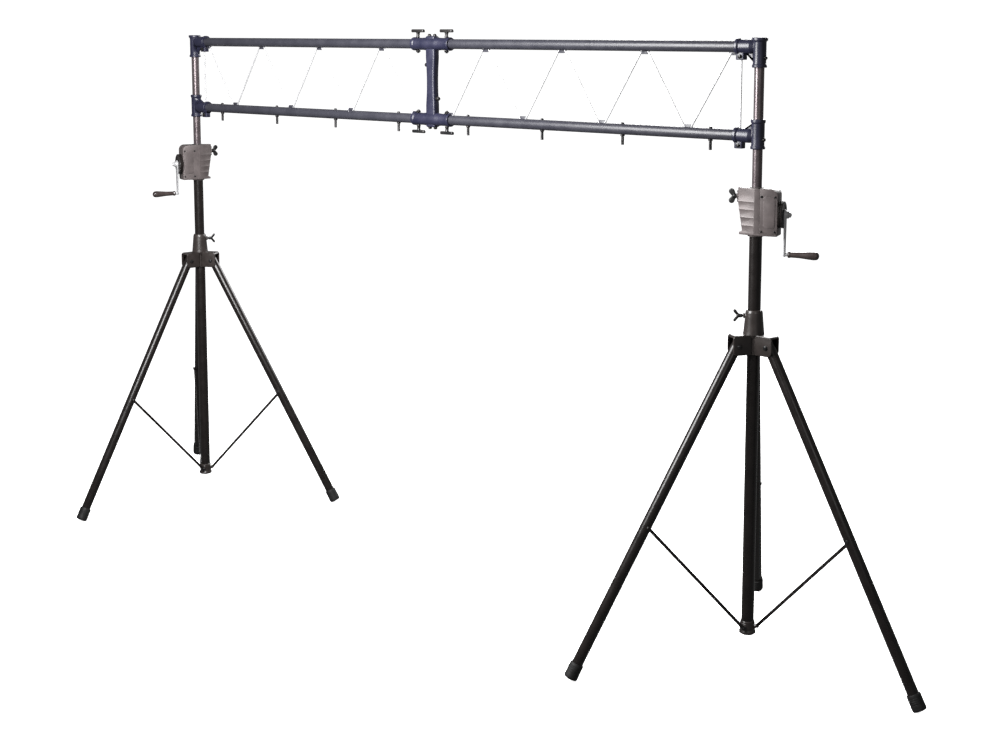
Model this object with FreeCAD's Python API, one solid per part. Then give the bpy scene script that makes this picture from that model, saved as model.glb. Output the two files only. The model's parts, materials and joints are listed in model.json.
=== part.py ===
# Crank-up lighting stand: two folding tripod stands, each with a hand-cranked lifting mast, that
# carry a flat two-section truss between them.
# Units are millimetres, +Z is up and the floor is Z = 0. X runs along the truss. The origin is the
# middle of the whole object's footprint, on the floor.
import FreeCAD, Part
import math
import os

# ---- Driving dimensions: overall ----------------------------------------------------------------
SPAN = 3100.0                # from one mast's axis to the other
FRAME_TOP = 2240.0           # top of the masts' caps
FOOT_RADIUS = 690.0          # column axis to where a leg's axis meets the floor
TRUSS_DEPTH = 310.0          # from the lower chord's axis to the upper chord's
CHORD_BELOW_TOP = 32.0       # upper chord's axis below the masts' caps
COLLAR_DROP = 426.0          # winch bottom to collar bottom, which leaves room for the fold
COLUMN_BOTTOM = 97.0
MAST_BOTTOM = 400.0
LIFT_DOWN = 130.0            # travel of the truss below the height it is drawn at
LIFT_UP = 850.0              # and above it
STOP_GAP = 5.0               # between the lower bracket and the winch at the lowest setting

# ---- Tubes and rods -----------------------------------------------------------------------------
COLUMN_WALL = 2.0
MAST_DIAMETER = 35.0
MAST_WALL = 2.0
MAST_RING = 20.0             # height of the ring on the mast's foot
LEG_DIAMETER = 40.0
LEG_WALL = 1.5
CHORD_DIAMETER = 40.0
CHORD_WALL = 2.0
ROD_DIAMETER = 6.0
ROD_SPLAY = 2.0              # of a lacing rod's end from its node
CABLE_DIAMETER = 2.4
CABLE_GAP = 0.3              # on each side of the cable, between the mast and the column

# ---- Clearances ---------------------------------------------------------------------------------
SLIDE_GAP = 0.4              # radial, between tubes and bushes that slide
PIN_GAP = 0.06               # radial, between a pin and what turns on it
SEAT_GAP = 0.02              # radial, between a fixed pin or tube and its hole
SIDE_GAP = 0.6               # between a swinging part's side and its neighbour
CLEAR = 1.0                  # between other faces that pass each other
OVERRUN = 1.0                # of a cutting or joining shape past the face that it works on

# ---- Leg collar ---------------------------------------------------------------------------------
COLLAR_HEIGHT = 72.0         # of the three arms
COLLAR_TOP_WALL = 7.0
NECK_HEIGHT = 86.0
NECK_TOP_WALL = 7.1
NECK_FOOT_WALL = 14.1
NECK_SHOULDER = 6.0
COLLAR_WALL = 8.1
ARM_LIP = 4.0                # of an arm beyond its leg
ARM_WALL = 5.4
ARM_ROOT = 2.0               # solid length of an arm beyond the collar's core
LEG_STANDOFF = 15.0          # between the collar's core and an upright leg
LEG_PIVOT_RISE = 32.0        # of the pivot above the collar's bottom
LEG_HEAD = 18.0              # of a leg above its pivot
LEG_PIN_DIAMETER = 8.0
BOLT_HEAD_HEIGHT = 4.0
WING_SCREW_RISE = 64.0       # of the collar's wing screw above the arms
WING_SCREW_DIAMETER = 8.0
WING_REACH = 53.5            # of the wings' tips beyond the column
WING_SPREAD = 24.0
WING_HUB_RADIUS = 7.0
WING_TIP_RADIUS = 5.0
WING_THICKNESS = 6.0
SCREW_BOSS_RADIUS = 9.0
SCREW_BOSS_REACH = 8.0       # of the wing screw's boss beyond the neck
BOLT_FLATS = 13.0            # across flats, of the leg bolts and the clamp bolts

# ---- Feet ---------------------------------------------------------------------------------------
FOOT_WALL = 5.0
FOOT_LENGTH = 58.0
FOOT_FLOOR = 6.0             # rubber under the tube's end
FOOT_ROUNDING = 7.0
FOOT_EDGE = 2.0              # chamfer inside that rounding and at the cap's mouth
FOOT_SINK = 4.0              # how much of the cap's edge is flattened by the floor

# ---- Braces and their hub -----------------------------------------------------------------------
BRACE_WIDTH = 12.0
BRACE_THICKNESS = 4.0
BRACE_ON_LEG = 712.0         # leg pivot to brace rivet, along the leg
BRACE_PIN_RISE = 21.0        # of the pin above the column's bottom
BRACE_PIN_DIAMETER = 6.0
HUB_WALL = 3.5
HUB_FLOOR = 6.0
HUB_HEIGHT = 44.0
HUB_FLARE = 2.0
HUB_FLARE_STEP = 4.0         # height of the flare's slope and of its rim
HUB_CHAMFER = 3.0
HUB_PIN_GRIP = 12.0          # depth of a brace pin in its lug
RIVET_HEAD_DIAMETER = 14.0
RIVET_HEAD_HEIGHT = 3.0

# ---- Winch --------------------------------------------------------------------------------------
WINCH_HEIGHT = 166.0
WINCH_SIDE = 14.5            # of the case beyond the column, on each side
CAVITY_WALL = 3.5            # between the column's bore and the gear box
CAVITY_LENGTH = 52.0
CAVITY_FLOOR = 22.0
NOSE_REACH = 41.5            # of the nose that carries the mast lock, beyond the column
NOSE_HALF_WIDTH = 12.0
NOSE_FOOT_STEP = 18.0        # how far the nose's foot lies inside its front
NOSE_LIP_STEP = 6.0          # and the lip under it
NOSE_LIP_HEIGHT = 8.0
NOSE_LIP_SLOPE = 6.0
NOSE_STRAIGHT = 50.0         # height of the nose's upright upper part
WINCH_ROUNDING = 24.0
CASE_WALL = 6.0
COVER_THICKNESS = 4.0
COVER_INSET = 4.0            # of the cover beyond the gear box's inner wall
COVER_FOOT = 8.0             # height of the cover's lower edge
COVER_SCREW_RADIUS = 4.0
NOSE_SCREW_SPREAD = 17.0     # above and below the mast lock
NOSE_SCREW_FLATS = 8.0
NOSE_SCREW_HEIGHT = 5.0
COLUMN_SOCKET = 62.0         # depth of the column in the case
BUSH_HEIGHT = 12.0
BUSH_WALL = 4.0
BUSH_LIP = 2.0
BUSH_LIP_REACH = 3.0
CRANK_RISE = 75.0            # of the crank's axis above the case's bottom
CRANK_RADIUS = 140.0
CRANK_SHAFT_DIAMETER = 12.0
GEAR_MODULE = 1.75
PINION_TEETH = 12
DRUM_TEETH = 32
GEAR_WIDTH = 9.0
ADDENDUM = 0.9               # of a tooth, in modules
DEDENDUM = 1.25
TOOTH_ROOT_WIDTH = 1.55      # as a share of half the pitch
TOOTH_TIP_WIDTH = 0.55
GEAR_BACKLASH = 0.35
DRUM_RADIUS = 20.0
DRUM_FLANGE_RADIUS = 23.5
DRUM_FLANGE = 2.0
DRUM_STANDOFF = 6.5          # between the gear box's inner wall and the drum
AXLE_RADIUS = 6.0
SADDLE_BACK = 2.5            # of the cable saddle behind the cable
SADDLE_LENGTH = 14.0
SADDLE_GAP = 0.15
SADDLE_HEADROOM = 3.0
CABLE_DROP_ANGLE = 60.0      # where the cable drops beside the mast, from the crank's direction
BEARING_DEPTH = 7.5          # of the crank bearing inside the case
BRAKE_DIAMETER = 95.0
BRAKE_THICKNESS = 16.0
ARM_THICKNESS = 5.0
SHAFT_TAIL = 4.0             # of the crank shaft beyond its pinion
ARM_HEAD_RADIUS = 18.0
ARM_TIP_RADIUS = 9.0
ARM_BOSS_RADIUS = 13.0
ARM_BOSS_LENGTH = 15.0
CRANK_NUT_FLATS = 18.0
CRANK_NUT_HEIGHT = 7.0
GRIP_LENGTH = 108.0
GRIP_SHAPE = ((11.5, 0.0), (12.5, 0.04), (10.0, 0.11), (11.5, 0.4), (14.0, 0.7), (15.0, 0.82),
              (13.5, 0.93), (9.0, 1.0))  # (radius, share of the length) from the arm outwards
GRIP_END_WALL = 7.0
GRIP_STANDOFF = 10.0         # between the crank arm and its grip
SPINDLE_DIAMETER = 8.0
SPINDLE_COLLAR_RADIUS = 6.5
SPINDLE_GAP = 0.09
MAST_LOCK_RISE = 134.0
MAST_LOCK_DIAMETER = 10.0
KNOB_GAP = 8.0               # between the nose and the butterfly knob
KNOB_HUB_RADIUS = 9.0
KNOB_HUB_LENGTH = 12.0
KNOB_LOBE_RADIUS = 10.5
KNOB_LOBE_RISE = 16.0
KNOB_LOBE_REACH = 10.0       # of a lobe's middle beyond the root
KNOB_ROOT = 7.0              # radius of the wings' root, and its distance from the hub's foot
KNOB_THICKNESS = 8.0

# ---- Truss --------------------------------------------------------------------------------------
FIRST_NODE = 100.0           # truss centre to the first lacing node
END_NODE_INSET = 98.0        # mast axis to the last lacing node
END_ROD_INSET = 72.0         # mast axis to the upright end rod
BAYS = 7                     # lacing rods between the chords in one section, less the end rod
SLEEVE_WALL = 5.5
SLEEVE_HEIGHT = 104.0
SLEEVE_RIM = 3.0
SLEEVE_RIM_HEIGHT = 8.0
LOWER_SLEEVE_DROP = 45.0     # of the lower sleeve below its chord
CAP_OVERHANG = 5.0
CAP_HEIGHT = 10.0
SOCKET_WALL = 5.0
SOCKET_REACH = 90.0          # mast axis to the socket's mouth
CHORD_IN_SOCKET = 55.0
SOCKET_RING = 12.0
SOCKET_RIM = 4.0
LUG_DEPTH = 21.0             # of the clamp lugs below the socket
LUG_LENGTH = 34.0
LUG_HALF_WIDTH = 13.0
CLAMP_SLIT = 2.0
CLAMP_BOLT_DIAMETER = 8.0
CLAMP_BOLT_RISE = 12.0       # above the lugs' lower edge
CLAMP_BOLT_INSET = 18.0      # from the socket's mouth
CLAMP_HEAD_HEIGHT = 5.0
SET_SCREW_FLATS = 11.0
SET_SCREW_HEIGHT = 6.0
SET_SCREW_PLACE = 0.32       # up the sleeve, as a share of its height
POST_WIDTH = 50.0
POST_WAIST = 42.0
POST_DEPTH = 34.0
POST_OVERHANG = 32.0         # of the post beyond each chord's axis
POST_SHOULDER = 60.0         # straight length of the post inside each chord's axis
POST_BOLT_RADIUS = 8.0
POST_BOLT_SPREAD = 15.0
POST_BOLT_HEIGHT = 9.0
SIDE_BOLT_HEIGHT = 14.0
SIDE_BOLT_DROP = 86.0
JUNCTION_REACH = 104.0
CHORD_STOP = 8.0             # truss centre to a chord's inner end
HANDLE_BOLT_REACH = 80.0
HANDLE_BOLT_DIAMETER = 10.0
HANDLE_RISE = 22.0           # of a T-handle above its sleeve
HANDLE_LENGTH = 72.0
HANDLE_THICKNESS = 13.0
HANDLE_DEPTH = 16.0
HANDLE_ROUNDING = 5.0
HANDLE_NECK_RADIUS = 8.0
HANDLE_NUT_FLATS = 17.0
HANDLE_NUT_HEIGHT = 8.0
HANGER_DIAMETER = 12.0
HANGER_DROP = 38.0           # of a hanger stud below its chord
HANGER_NUB = 6.0
HANGER_FLANGE_DIAMETER = 17.0
HANGER_FLANGE = 5.0          # thickness of the flange under the chord

# ---- Worked out from the sizes above ------------------------------------------------------------
UPPER_CHORD_HEIGHT = FRAME_TOP - CHORD_BELOW_TOP
LOWER_CHORD_HEIGHT = UPPER_CHORD_HEIGHT - TRUSS_DEPTH
LOWER_SLEEVE_BOTTOM = LOWER_CHORD_HEIGHT - LOWER_SLEEVE_DROP
WINCH_BOTTOM = LOWER_SLEEVE_BOTTOM - LIFT_DOWN - STOP_GAP - WINCH_HEIGHT
COLLAR_BOTTOM = WINCH_BOTTOM - COLLAR_DROP
MAST_RADIUS = MAST_DIAMETER / 2
COLUMN_BORE = MAST_RADIUS + CABLE_DIAMETER + 2 * CABLE_GAP
COLUMN_RADIUS = COLUMN_BORE + COLUMN_WALL
LEG_RADIUS = LEG_DIAMETER / 2
CHORD_RADIUS = CHORD_DIAMETER / 2
FOOT_DIAMETER = LEG_DIAMETER + 2 * FOOT_WALL
SLEEVE_RADIUS = MAST_RADIUS + SLEEVE_WALL
SOCKET_RADIUS = CHORD_RADIUS + SOCKET_WALL
CLAMP_LUG_DROP = SOCKET_RADIUS + LUG_DEPTH
HANDLE_BOLT_RISE = SOCKET_RADIUS + HANDLE_RISE
COLLAR_BORE = COLUMN_RADIUS + SLIDE_GAP
COLLAR_TOP = COLLAR_BOTTOM + COLLAR_HEIGHT
NECK_TOP_RADIUS = COLLAR_BORE + NECK_TOP_WALL
NECK_FOOT_RADIUS = COLLAR_BORE + NECK_FOOT_WALL
COLLAR_CORE_RADIUS = COLLAR_BORE + COLLAR_WALL
LEG_PIVOT_RADIUS = COLLAR_CORE_RADIUS + LEG_RADIUS + LEG_STANDOFF
ARM_REACH = LEG_PIVOT_RADIUS + LEG_RADIUS + ARM_LIP
ARM_SLOT = LEG_RADIUS + SIDE_GAP
ARM_HALF_WIDTH = ARM_SLOT + ARM_WALL
LEG_PIVOT_HEIGHT = COLLAR_BOTTOM + LEG_PIVOT_RISE
LEG_SPREAD = math.atan2(FOOT_RADIUS - LEG_PIVOT_RADIUS, LEG_PIVOT_HEIGHT)
LEG_LENGTH = math.hypot(FOOT_RADIUS - LEG_PIVOT_RADIUS, LEG_PIVOT_HEIGHT)
BRACE_PIN_RADIUS = COLUMN_RADIUS + HUB_WALL
BRACE_PIN_HEIGHT = COLUMN_BOTTOM + BRACE_PIN_RISE
BRACE_INNER = LEG_RADIUS + SIDE_GAP
BRACE_OUTER = BRACE_INNER + BRACE_THICKNESS
RIVET_POINT = (LEG_PIVOT_RADIUS + BRACE_ON_LEG * math.sin(LEG_SPREAD),
               LEG_PIVOT_HEIGHT - BRACE_ON_LEG * math.cos(LEG_SPREAD))
BRACE_LENGTH = math.hypot(RIVET_POINT[0] - BRACE_PIN_RADIUS, RIVET_POINT[1] - BRACE_PIN_HEIGHT)
BRACE_SPREAD = math.asin((RIVET_POINT[0] - BRACE_PIN_RADIUS) / BRACE_LENGTH)
BRACE_FOLDED = math.asin((LEG_PIVOT_RADIUS - BRACE_PIN_RADIUS) / BRACE_LENGTH)
FOLD_TRAVEL = (BRACE_PIN_HEIGHT + BRACE_LENGTH * math.cos(BRACE_FOLDED) + BRACE_ON_LEG
               - LEG_PIVOT_HEIGHT)
COLUMN_TOP = WINCH_BOTTOM + COLUMN_SOCKET
CABLE_REACH = (COLUMN_BORE + MAST_RADIUS) / 2
PINION_RADIUS = GEAR_MODULE * PINION_TEETH / 2
DRUM_GEAR_RADIUS = GEAR_MODULE * DRUM_TEETH / 2
DRUM_RISE = CRANK_RISE + PINION_RADIUS + DRUM_GEAR_RADIUS
WINCH_HALF_DEPTH = COLUMN_RADIUS + WINCH_SIDE
WINCH_NOSE = COLUMN_RADIUS + NOSE_REACH
CAVITY_INNER = COLUMN_BORE + CAVITY_WALL
CAVITY_OUTER = CAVITY_INNER + CAVITY_LENGTH
WINCH_OUTER = CAVITY_OUTER + CASE_WALL
CAVITY_TOP = WINCH_HEIGHT - BUSH_HEIGHT
DRUM_START = CAVITY_INNER + DRUM_STANDOFF
GEAR_START = CAVITY_OUTER - BEARING_DEPTH - 2 * CLEAR - GEAR_WIDTH
BRAKE_START = WINCH_OUTER + CLEAR
ARM_START = BRAKE_START + BRAKE_THICKNESS + CLEAR
SPINDLE_START = ARM_START + ARM_THICKNESS
GRIP_START = SPINDLE_START + GRIP_STANDOFF
HALF_SPAN = SPAN / 2
NODE_PITCH = (HALF_SPAN - END_NODE_INSET - FIRST_NODE) / BAYS
THIRDS = (0.0, 120.0, 240.0)  # directions of the three legs, from the rear one

UP = FreeCAD.Vector(0, 0, 1)


class Stand:
    """Where one tripod stands along the truss, and which way its pieces face, in degrees."""

    def __init__(self, name, side, rear_leg, crank, wing):
        self.name = name
        self.side = side
        self.rear_leg = rear_leg
        self.crank = crank
        self.wing = wing

    def leg_angles(self):
        return [self.rear_leg + turn for turn in THIRDS]


RIGHT = Stand("right", 1.0, rear_leg=118.0, crank=18.0, wing=213.0)
LEFT = Stand("left", -1.0, rear_leg=145.0, crank=248.0, wing=53.0)
STANDS = (RIGHT, LEFT)


def foot_extent(index):
    """Lowest and highest foot coordinate along X (0) or Y (1), measured from the truss's middle."""
    values = []
    for stand in STANDS:
        for angle in stand.leg_angles():
            turn = math.radians(angle)
            along = FOOT_RADIUS * (math.cos(turn), math.sin(turn))[index]
            values.append(along + (stand.side * HALF_SPAN if index == 0 else 0.0))
    return min(values), max(values)


TRUSS_X = -sum(foot_extent(0)) / 2
TRUSS_Y = -sum(foot_extent(1)) / 2


# ---- Shape helpers ------------------------------------------------------------------------------
def cylinder(radius, length, start, direction=(0, 0, 1)):
    return Part.makeCylinder(radius, length, FreeCAD.Vector(*start), FreeCAD.Vector(*direction))


def tube(outer, inner, length, start, direction=(0, 0, 1)):
    return cylinder(outer, length, start, direction).cut(cylinder(inner, length, start, direction))


def block(x, y, z):
    """A box from pairs of low and high coordinates."""
    corner = FreeCAD.Vector(x[0], y[0], z[0])
    return Part.makeBox(x[1] - x[0], y[1] - y[0], z[1] - z[0], corner)


def turned_about_z(profile):
    """A solid of revolution from (radius, height) points."""
    points = [FreeCAD.Vector(radius, 0, height) for radius, height in profile]
    face = Part.Face(Part.makePolygon(points + points[:1]))
    return face.revolve(FreeCAD.Vector(0, 0, 0), UP, 360)


def extruded(points, direction):
    """A prism from a closed outline of 3-D points."""
    corners = [FreeCAD.Vector(*point) for point in points]
    return Part.Face(Part.makePolygon(corners + corners[:1])).extrude(FreeCAD.Vector(*direction))


def link_plate(start, start_radius, end, end_radius, thickness):
    """A flat bar in the XZ plane with round ends, from y = 0 to y = thickness."""
    dx, dz = end[0] - start[0], end[1] - start[1]
    length = math.hypot(dx, dz)
    lean = math.acos((start_radius - end_radius) / length)
    heading = math.atan2(dz, dx)
    corners = []
    for centre, radius, sign in ((start, start_radius, 1), (end, end_radius, 1),
                                 (end, end_radius, -1), (start, start_radius, -1)):
        angle = heading + sign * lean
        corners.append((centre[0] + radius * math.cos(angle), 0, centre[1] + radius * math.sin(angle)))
    plate = extruded(corners, (0, thickness, 0))
    for centre, radius in ((start, start_radius), (end, end_radius)):
        plate = plate.fuse(cylinder(radius, thickness, (centre[0], 0, centre[1]), (0, 1, 0)))
    return plate.removeSplitter()


def moved(shape, x=0.0, y=0.0, z=0.0):
    copy = shape.copy()
    copy.translate(FreeCAD.Vector(x, y, z))
    return copy


def rotated(shape, degrees, axis=(0, 0, 1), centre=(0, 0, 0)):
    copy = shape.copy()
    copy.rotate(FreeCAD.Vector(*centre), FreeCAD.Vector(*axis), degrees)
    return copy


def on_stand(stand, shape, facing):
    """Turn a piece from its own frame, where it faces +X, and carry it to its stand."""
    return moved(rotated(shape, facing), TRUSS_X + stand.side * HALF_SPAN, TRUSS_Y)


def hexagon(across_flats, length, start, direction):
    """A bolt head or nut: a hexagonal prism from start along direction."""
    radius = across_flats / math.sqrt(3)
    ring = [FreeCAD.Vector(radius * math.cos(math.radians(60 * k)),
                           radius * math.sin(math.radians(60 * k)), 0) for k in range(6)]
    prism = Part.Face(Part.makePolygon(ring + ring[:1])).extrude(FreeCAD.Vector(0, 0, length))
    prism.Placement = FreeCAD.Placement(FreeCAD.Vector(*start),
                                        FreeCAD.Rotation(UP, FreeCAD.Vector(*direction)))
    return prism


def group(*solids):
    return Part.makeCompound(list(solids))


# ---- Column and brace hub -----------------------------------------------------------------------
def column_tube():
    start = COLUMN_BOTTOM
    return tube(COLUMN_RADIUS, COLUMN_BORE, COLUMN_TOP - start, (0, 0, start))


def brace_hub():
    """The cap on the column's foot, with a block and pin for each brace."""
    bottom = COLUMN_BOTTOM - HUB_FLOOR
    outer = COLUMN_RADIUS + HUB_WALL
    top = COLUMN_BOTTOM + HUB_HEIGHT
    rim, step = outer + HUB_FLARE, HUB_FLARE_STEP
    cap = turned_about_z([(0, bottom), (outer - HUB_FLARE, bottom), (rim, bottom + step),
                          (rim, bottom + 2 * step), (outer, bottom + 4 * step),
                          (outer, top - HUB_CHAMFER), (outer - HUB_CHAMFER, top), (0, top)])
    pins = []
    half = BRACE_WIDTH / 2
    for angle in THIRDS:
        lug = block((0, BRACE_PIN_RADIUS), (0, BRACE_INNER - SIDE_GAP),
                    (BRACE_PIN_HEIGHT - half, BRACE_PIN_HEIGHT + half))
        lug = lug.fuse(cylinder(half, BRACE_INNER - SIDE_GAP, (BRACE_PIN_RADIUS, 0, BRACE_PIN_HEIGHT),
                                (0, 1, 0)))
        cap = cap.fuse(rotated(lug, angle))
    inside = cylinder(COLUMN_RADIUS + SEAT_GAP, COLUMN_TOP, (0, 0, COLUMN_BOTTOM))
    cap = cap.cut(inside)
    for angle in THIRDS:
        foot = (BRACE_PIN_RADIUS, BRACE_INNER - HUB_PIN_GRIP, BRACE_PIN_HEIGHT)
        head_face = (BRACE_PIN_RADIUS, BRACE_OUTER + SIDE_GAP, BRACE_PIN_HEIGHT)
        shank = cylinder(BRACE_PIN_DIAMETER / 2, head_face[1] - foot[1], foot, (0, 1, 0))
        head = cylinder(RIVET_HEAD_DIAMETER / 2, RIVET_HEAD_HEIGHT, head_face, (0, 1, 0))
        hole = cylinder(BRACE_PIN_DIAMETER / 2 + SEAT_GAP, BRACE_OUTER, foot, (0, 1, 0))
        cap = cap.cut(rotated(hole, angle))
        pins.append(rotated(shank.fuse(head), angle))
    return group(cap, *pins)


# ---- Leg collar, legs, feet and braces ----------------------------------------------------------
def leg_collar(wing_angle):
    """The sliding casting that the legs hang from, with its three leg bolts."""
    neck_top = COLLAR_TOP + NECK_HEIGHT
    body = turned_about_z([(0, COLLAR_BOTTOM), (COLLAR_CORE_RADIUS, COLLAR_BOTTOM),
                           (COLLAR_CORE_RADIUS, COLLAR_TOP), (NECK_FOOT_RADIUS, COLLAR_TOP),
                           (NECK_TOP_RADIUS, neck_top - NECK_SHOULDER),
                           (NECK_TOP_RADIUS - NECK_SHOULDER / 2, neck_top), (0, neck_top)])
    arm = block((0, ARM_REACH), (-ARM_HALF_WIDTH, ARM_HALF_WIDTH), (COLLAR_BOTTOM, COLLAR_TOP))
    slot = block((COLLAR_CORE_RADIUS + ARM_ROOT, ARM_REACH + OVERRUN), (-ARM_SLOT, ARM_SLOT),
                 (COLLAR_BOTTOM - OVERRUN, COLLAR_TOP - COLLAR_TOP_WALL))
    arms = [rotated(arm, angle) for angle in THIRDS]
    body = body.fuse(arms)
    pin_length = 2 * ARM_HALF_WIDTH
    pin_start = (LEG_PIVOT_RADIUS, -ARM_HALF_WIDTH, LEG_PIVOT_HEIGHT)
    hole = cylinder(LEG_PIN_DIAMETER / 2 + SEAT_GAP, pin_length, pin_start, (0, 1, 0))
    bolt = cylinder(LEG_PIN_DIAMETER / 2, pin_length, pin_start, (0, 1, 0))
    bolt = bolt.fuse(hexagon(BOLT_FLATS, BOLT_HEAD_HEIGHT, pin_start, (0, -1, 0)))
    bolt = bolt.fuse(hexagon(BOLT_FLATS, BOLT_HEAD_HEIGHT,
                             (LEG_PIVOT_RADIUS, ARM_HALF_WIDTH, LEG_PIVOT_HEIGHT), (0, 1, 0)))
    boss_height = COLLAR_TOP + WING_SCREW_RISE
    boss = cylinder(SCREW_BOSS_RADIUS, NECK_TOP_RADIUS + SCREW_BOSS_REACH, (0, 0, boss_height), (1, 0, 0))
    screw_hole = cylinder(WING_SCREW_DIAMETER / 2 + PIN_GAP, ARM_REACH, (0, 0, boss_height), (1, 0, 0))
    body = body.fuse(rotated(boss, wing_angle))
    cuts = [rotated(shape, angle) for shape in (slot, hole) for angle in THIRDS]
    cuts.append(rotated(screw_hole, wing_angle))
    cuts.append(cylinder(COLLAR_BORE, neck_top, (0, 0, 0)))
    body = body.cut(cuts).removeSplitter()
    return group(body, *[rotated(bolt, angle) for angle in THIRDS])


def collar_wing_screw():
    """A Y-shaped wing screw along +X that clamps the collar to the column."""
    height = COLLAR_TOP + WING_SCREW_RISE
    start = COLUMN_RADIUS + SLIDE_GAP
    tip = COLUMN_RADIUS + WING_REACH - WING_TIP_RADIUS
    knot = tip - 3 * WING_TIP_RADIUS
    screw = cylinder(WING_SCREW_DIAMETER / 2, knot - start, (start, 0, height), (1, 0, 0))
    for sign in (-1, 1):
        end = (tip, height + sign * (WING_SPREAD - WING_TIP_RADIUS))
        wing = link_plate((knot, height), WING_HUB_RADIUS, end, WING_TIP_RADIUS, WING_THICKNESS)
        screw = screw.fuse(moved(wing, y=-WING_THICKNESS / 2))
    return screw.removeSplitter()


def lean_leg(shape):
    """Swing a piece drawn on an upright leg out to the leg's working angle."""
    return rotated(shape, -math.degrees(LEG_SPREAD), (0, 1, 0), (LEG_PIVOT_RADIUS, 0, LEG_PIVOT_HEIGHT))


def foot_end():
    """Distance from the leg pivot to the foot's end, along the leg."""
    lift = FOOT_DIAMETER / 2 * math.sin(LEG_SPREAD) - FOOT_SINK
    return LEG_LENGTH - lift / math.cos(LEG_SPREAD)


def leg():
    """A leg tube: drawn upright under its pivot, then swung out."""
    bottom = LEG_PIVOT_HEIGHT - foot_end() + FOOT_FLOOR
    top = LEG_PIVOT_HEIGHT + LEG_HEAD
    start = (LEG_PIVOT_RADIUS, 0, bottom)
    shape = tube(LEG_RADIUS, LEG_RADIUS - LEG_WALL, top - bottom, start)
    hole_start = (LEG_PIVOT_RADIUS, -LEG_DIAMETER, LEG_PIVOT_HEIGHT)
    shape = shape.cut(cylinder(LEG_PIN_DIAMETER / 2 + PIN_GAP, 2 * LEG_DIAMETER, hole_start, (0, 1, 0)))
    return lean_leg(shape)


def foot():
    """A rubber cap on a leg's end, flattened where it meets the floor."""
    radius = FOOT_DIAMETER / 2
    end = LEG_PIVOT_HEIGHT - foot_end()
    inner, mouth = radius - FOOT_EDGE, end + FOOT_LENGTH
    cap = turned_about_z([(0, end), (radius - FOOT_ROUNDING, end), (inner, end + FOOT_EDGE),
                          (radius, end + FOOT_ROUNDING), (radius, mouth - FOOT_EDGE),
                          (inner, mouth), (0, mouth)])
    cap = cap.cut(cylinder(LEG_RADIUS + SEAT_GAP, FOOT_LENGTH, (0, 0, end + FOOT_FLOOR)))
    cap = lean_leg(moved(cap, LEG_PIVOT_RADIUS))
    reach = 2 * FOOT_RADIUS
    return cap.cut(block((-reach, reach), (-reach, reach), (-reach, 0)))


def brace():
    """A flat bar beside its leg, from a pin on the hub to a rivet on the leg's side."""
    half = BRACE_WIDTH / 2
    bar = link_plate((BRACE_PIN_RADIUS, BRACE_PIN_HEIGHT), half, RIVET_POINT, half, BRACE_THICKNESS)
    bar = moved(bar, y=BRACE_INNER)
    rivet = (RIVET_POINT[0], BRACE_INNER + BRACE_THICKNESS / 2, RIVET_POINT[1])
    height = BRACE_THICKNESS / 2 + RIVET_HEAD_HEIGHT
    bar = bar.fuse(cylinder(RIVET_HEAD_DIAMETER / 2, height, rivet, (0, 1, 0)))
    hole = cylinder(BRACE_PIN_DIAMETER / 2 + PIN_GAP, BRACE_OUTER, (BRACE_PIN_RADIUS, 0, BRACE_PIN_HEIGHT),
                    (0, 1, 0))
    return bar.cut(hole)


# ---- Winch --------------------------------------------------------------------------------------
def at_winch(shape):
    return moved(shape, z=WINCH_BOTTOM)


def cable_saddle_place():
    """Where the cable rises from the drum and drops beside the mast, and the turn between."""
    rise = (DRUM_START + DRUM_FLANGE + CABLE_DIAMETER, DRUM_RADIUS + CABLE_DIAMETER / 2)
    drop_angle = math.radians(CABLE_DROP_ANGLE)
    drop = (CABLE_REACH * math.cos(drop_angle), CABLE_REACH * math.sin(drop_angle))
    radius = math.hypot(rise[0] - drop[0], rise[1] - drop[1]) / 2
    middle = ((rise[0] + drop[0]) / 2, (rise[1] + drop[1]) / 2, CAVITY_TOP - radius - SADDLE_HEADROOM)
    return rise, drop, middle, radius


def winch_outline():
    """The case's outer shape: a gear box with a tapered nose."""
    box = block((0, WINCH_OUTER), (-WINCH_HALF_DEPTH, WINCH_HALF_DEPTH), (0, WINCH_HEIGHT))
    corner = block((WINCH_OUTER - WINCH_ROUNDING, WINCH_OUTER), (-WINCH_HALF_DEPTH, WINCH_HALF_DEPTH),
                   (WINCH_HEIGHT - WINCH_ROUNDING, WINCH_HEIGHT))
    round_start = (WINCH_OUTER - WINCH_ROUNDING, -WINCH_HALF_DEPTH, WINCH_HEIGHT - WINCH_ROUNDING)
    corner = corner.cut(cylinder(WINCH_ROUNDING, 2 * WINCH_HALF_DEPTH, round_start, (0, 1, 0)))
    nose = extruded([(0, -WINCH_HALF_DEPTH, 0), (-WINCH_NOSE, -NOSE_HALF_WIDTH, 0),
                     (-WINCH_NOSE, NOSE_HALF_WIDTH, 0), (0, WINCH_HALF_DEPTH, 0)],
                    (0, 0, WINCH_HEIGHT))
    depth = WINCH_HALF_DEPTH + OVERRUN
    side = extruded([(OVERRUN, -depth, 0), (OVERRUN, -depth, WINCH_HEIGHT),
                     (-WINCH_NOSE, -depth, WINCH_HEIGHT),
                     (-WINCH_NOSE, -depth, WINCH_HEIGHT - NOSE_STRAIGHT),
                     (NOSE_FOOT_STEP - WINCH_NOSE, -depth, NOSE_LIP_HEIGHT + NOSE_LIP_SLOPE),
                     (NOSE_LIP_STEP - WINCH_NOSE, -depth, NOSE_LIP_HEIGHT),
                     (NOSE_LIP_STEP - WINCH_NOSE, -depth, 0)], (0, 2 * depth, 0))
    return box.cut(corner).fuse(nose.common(side)).removeSplitter()


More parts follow.
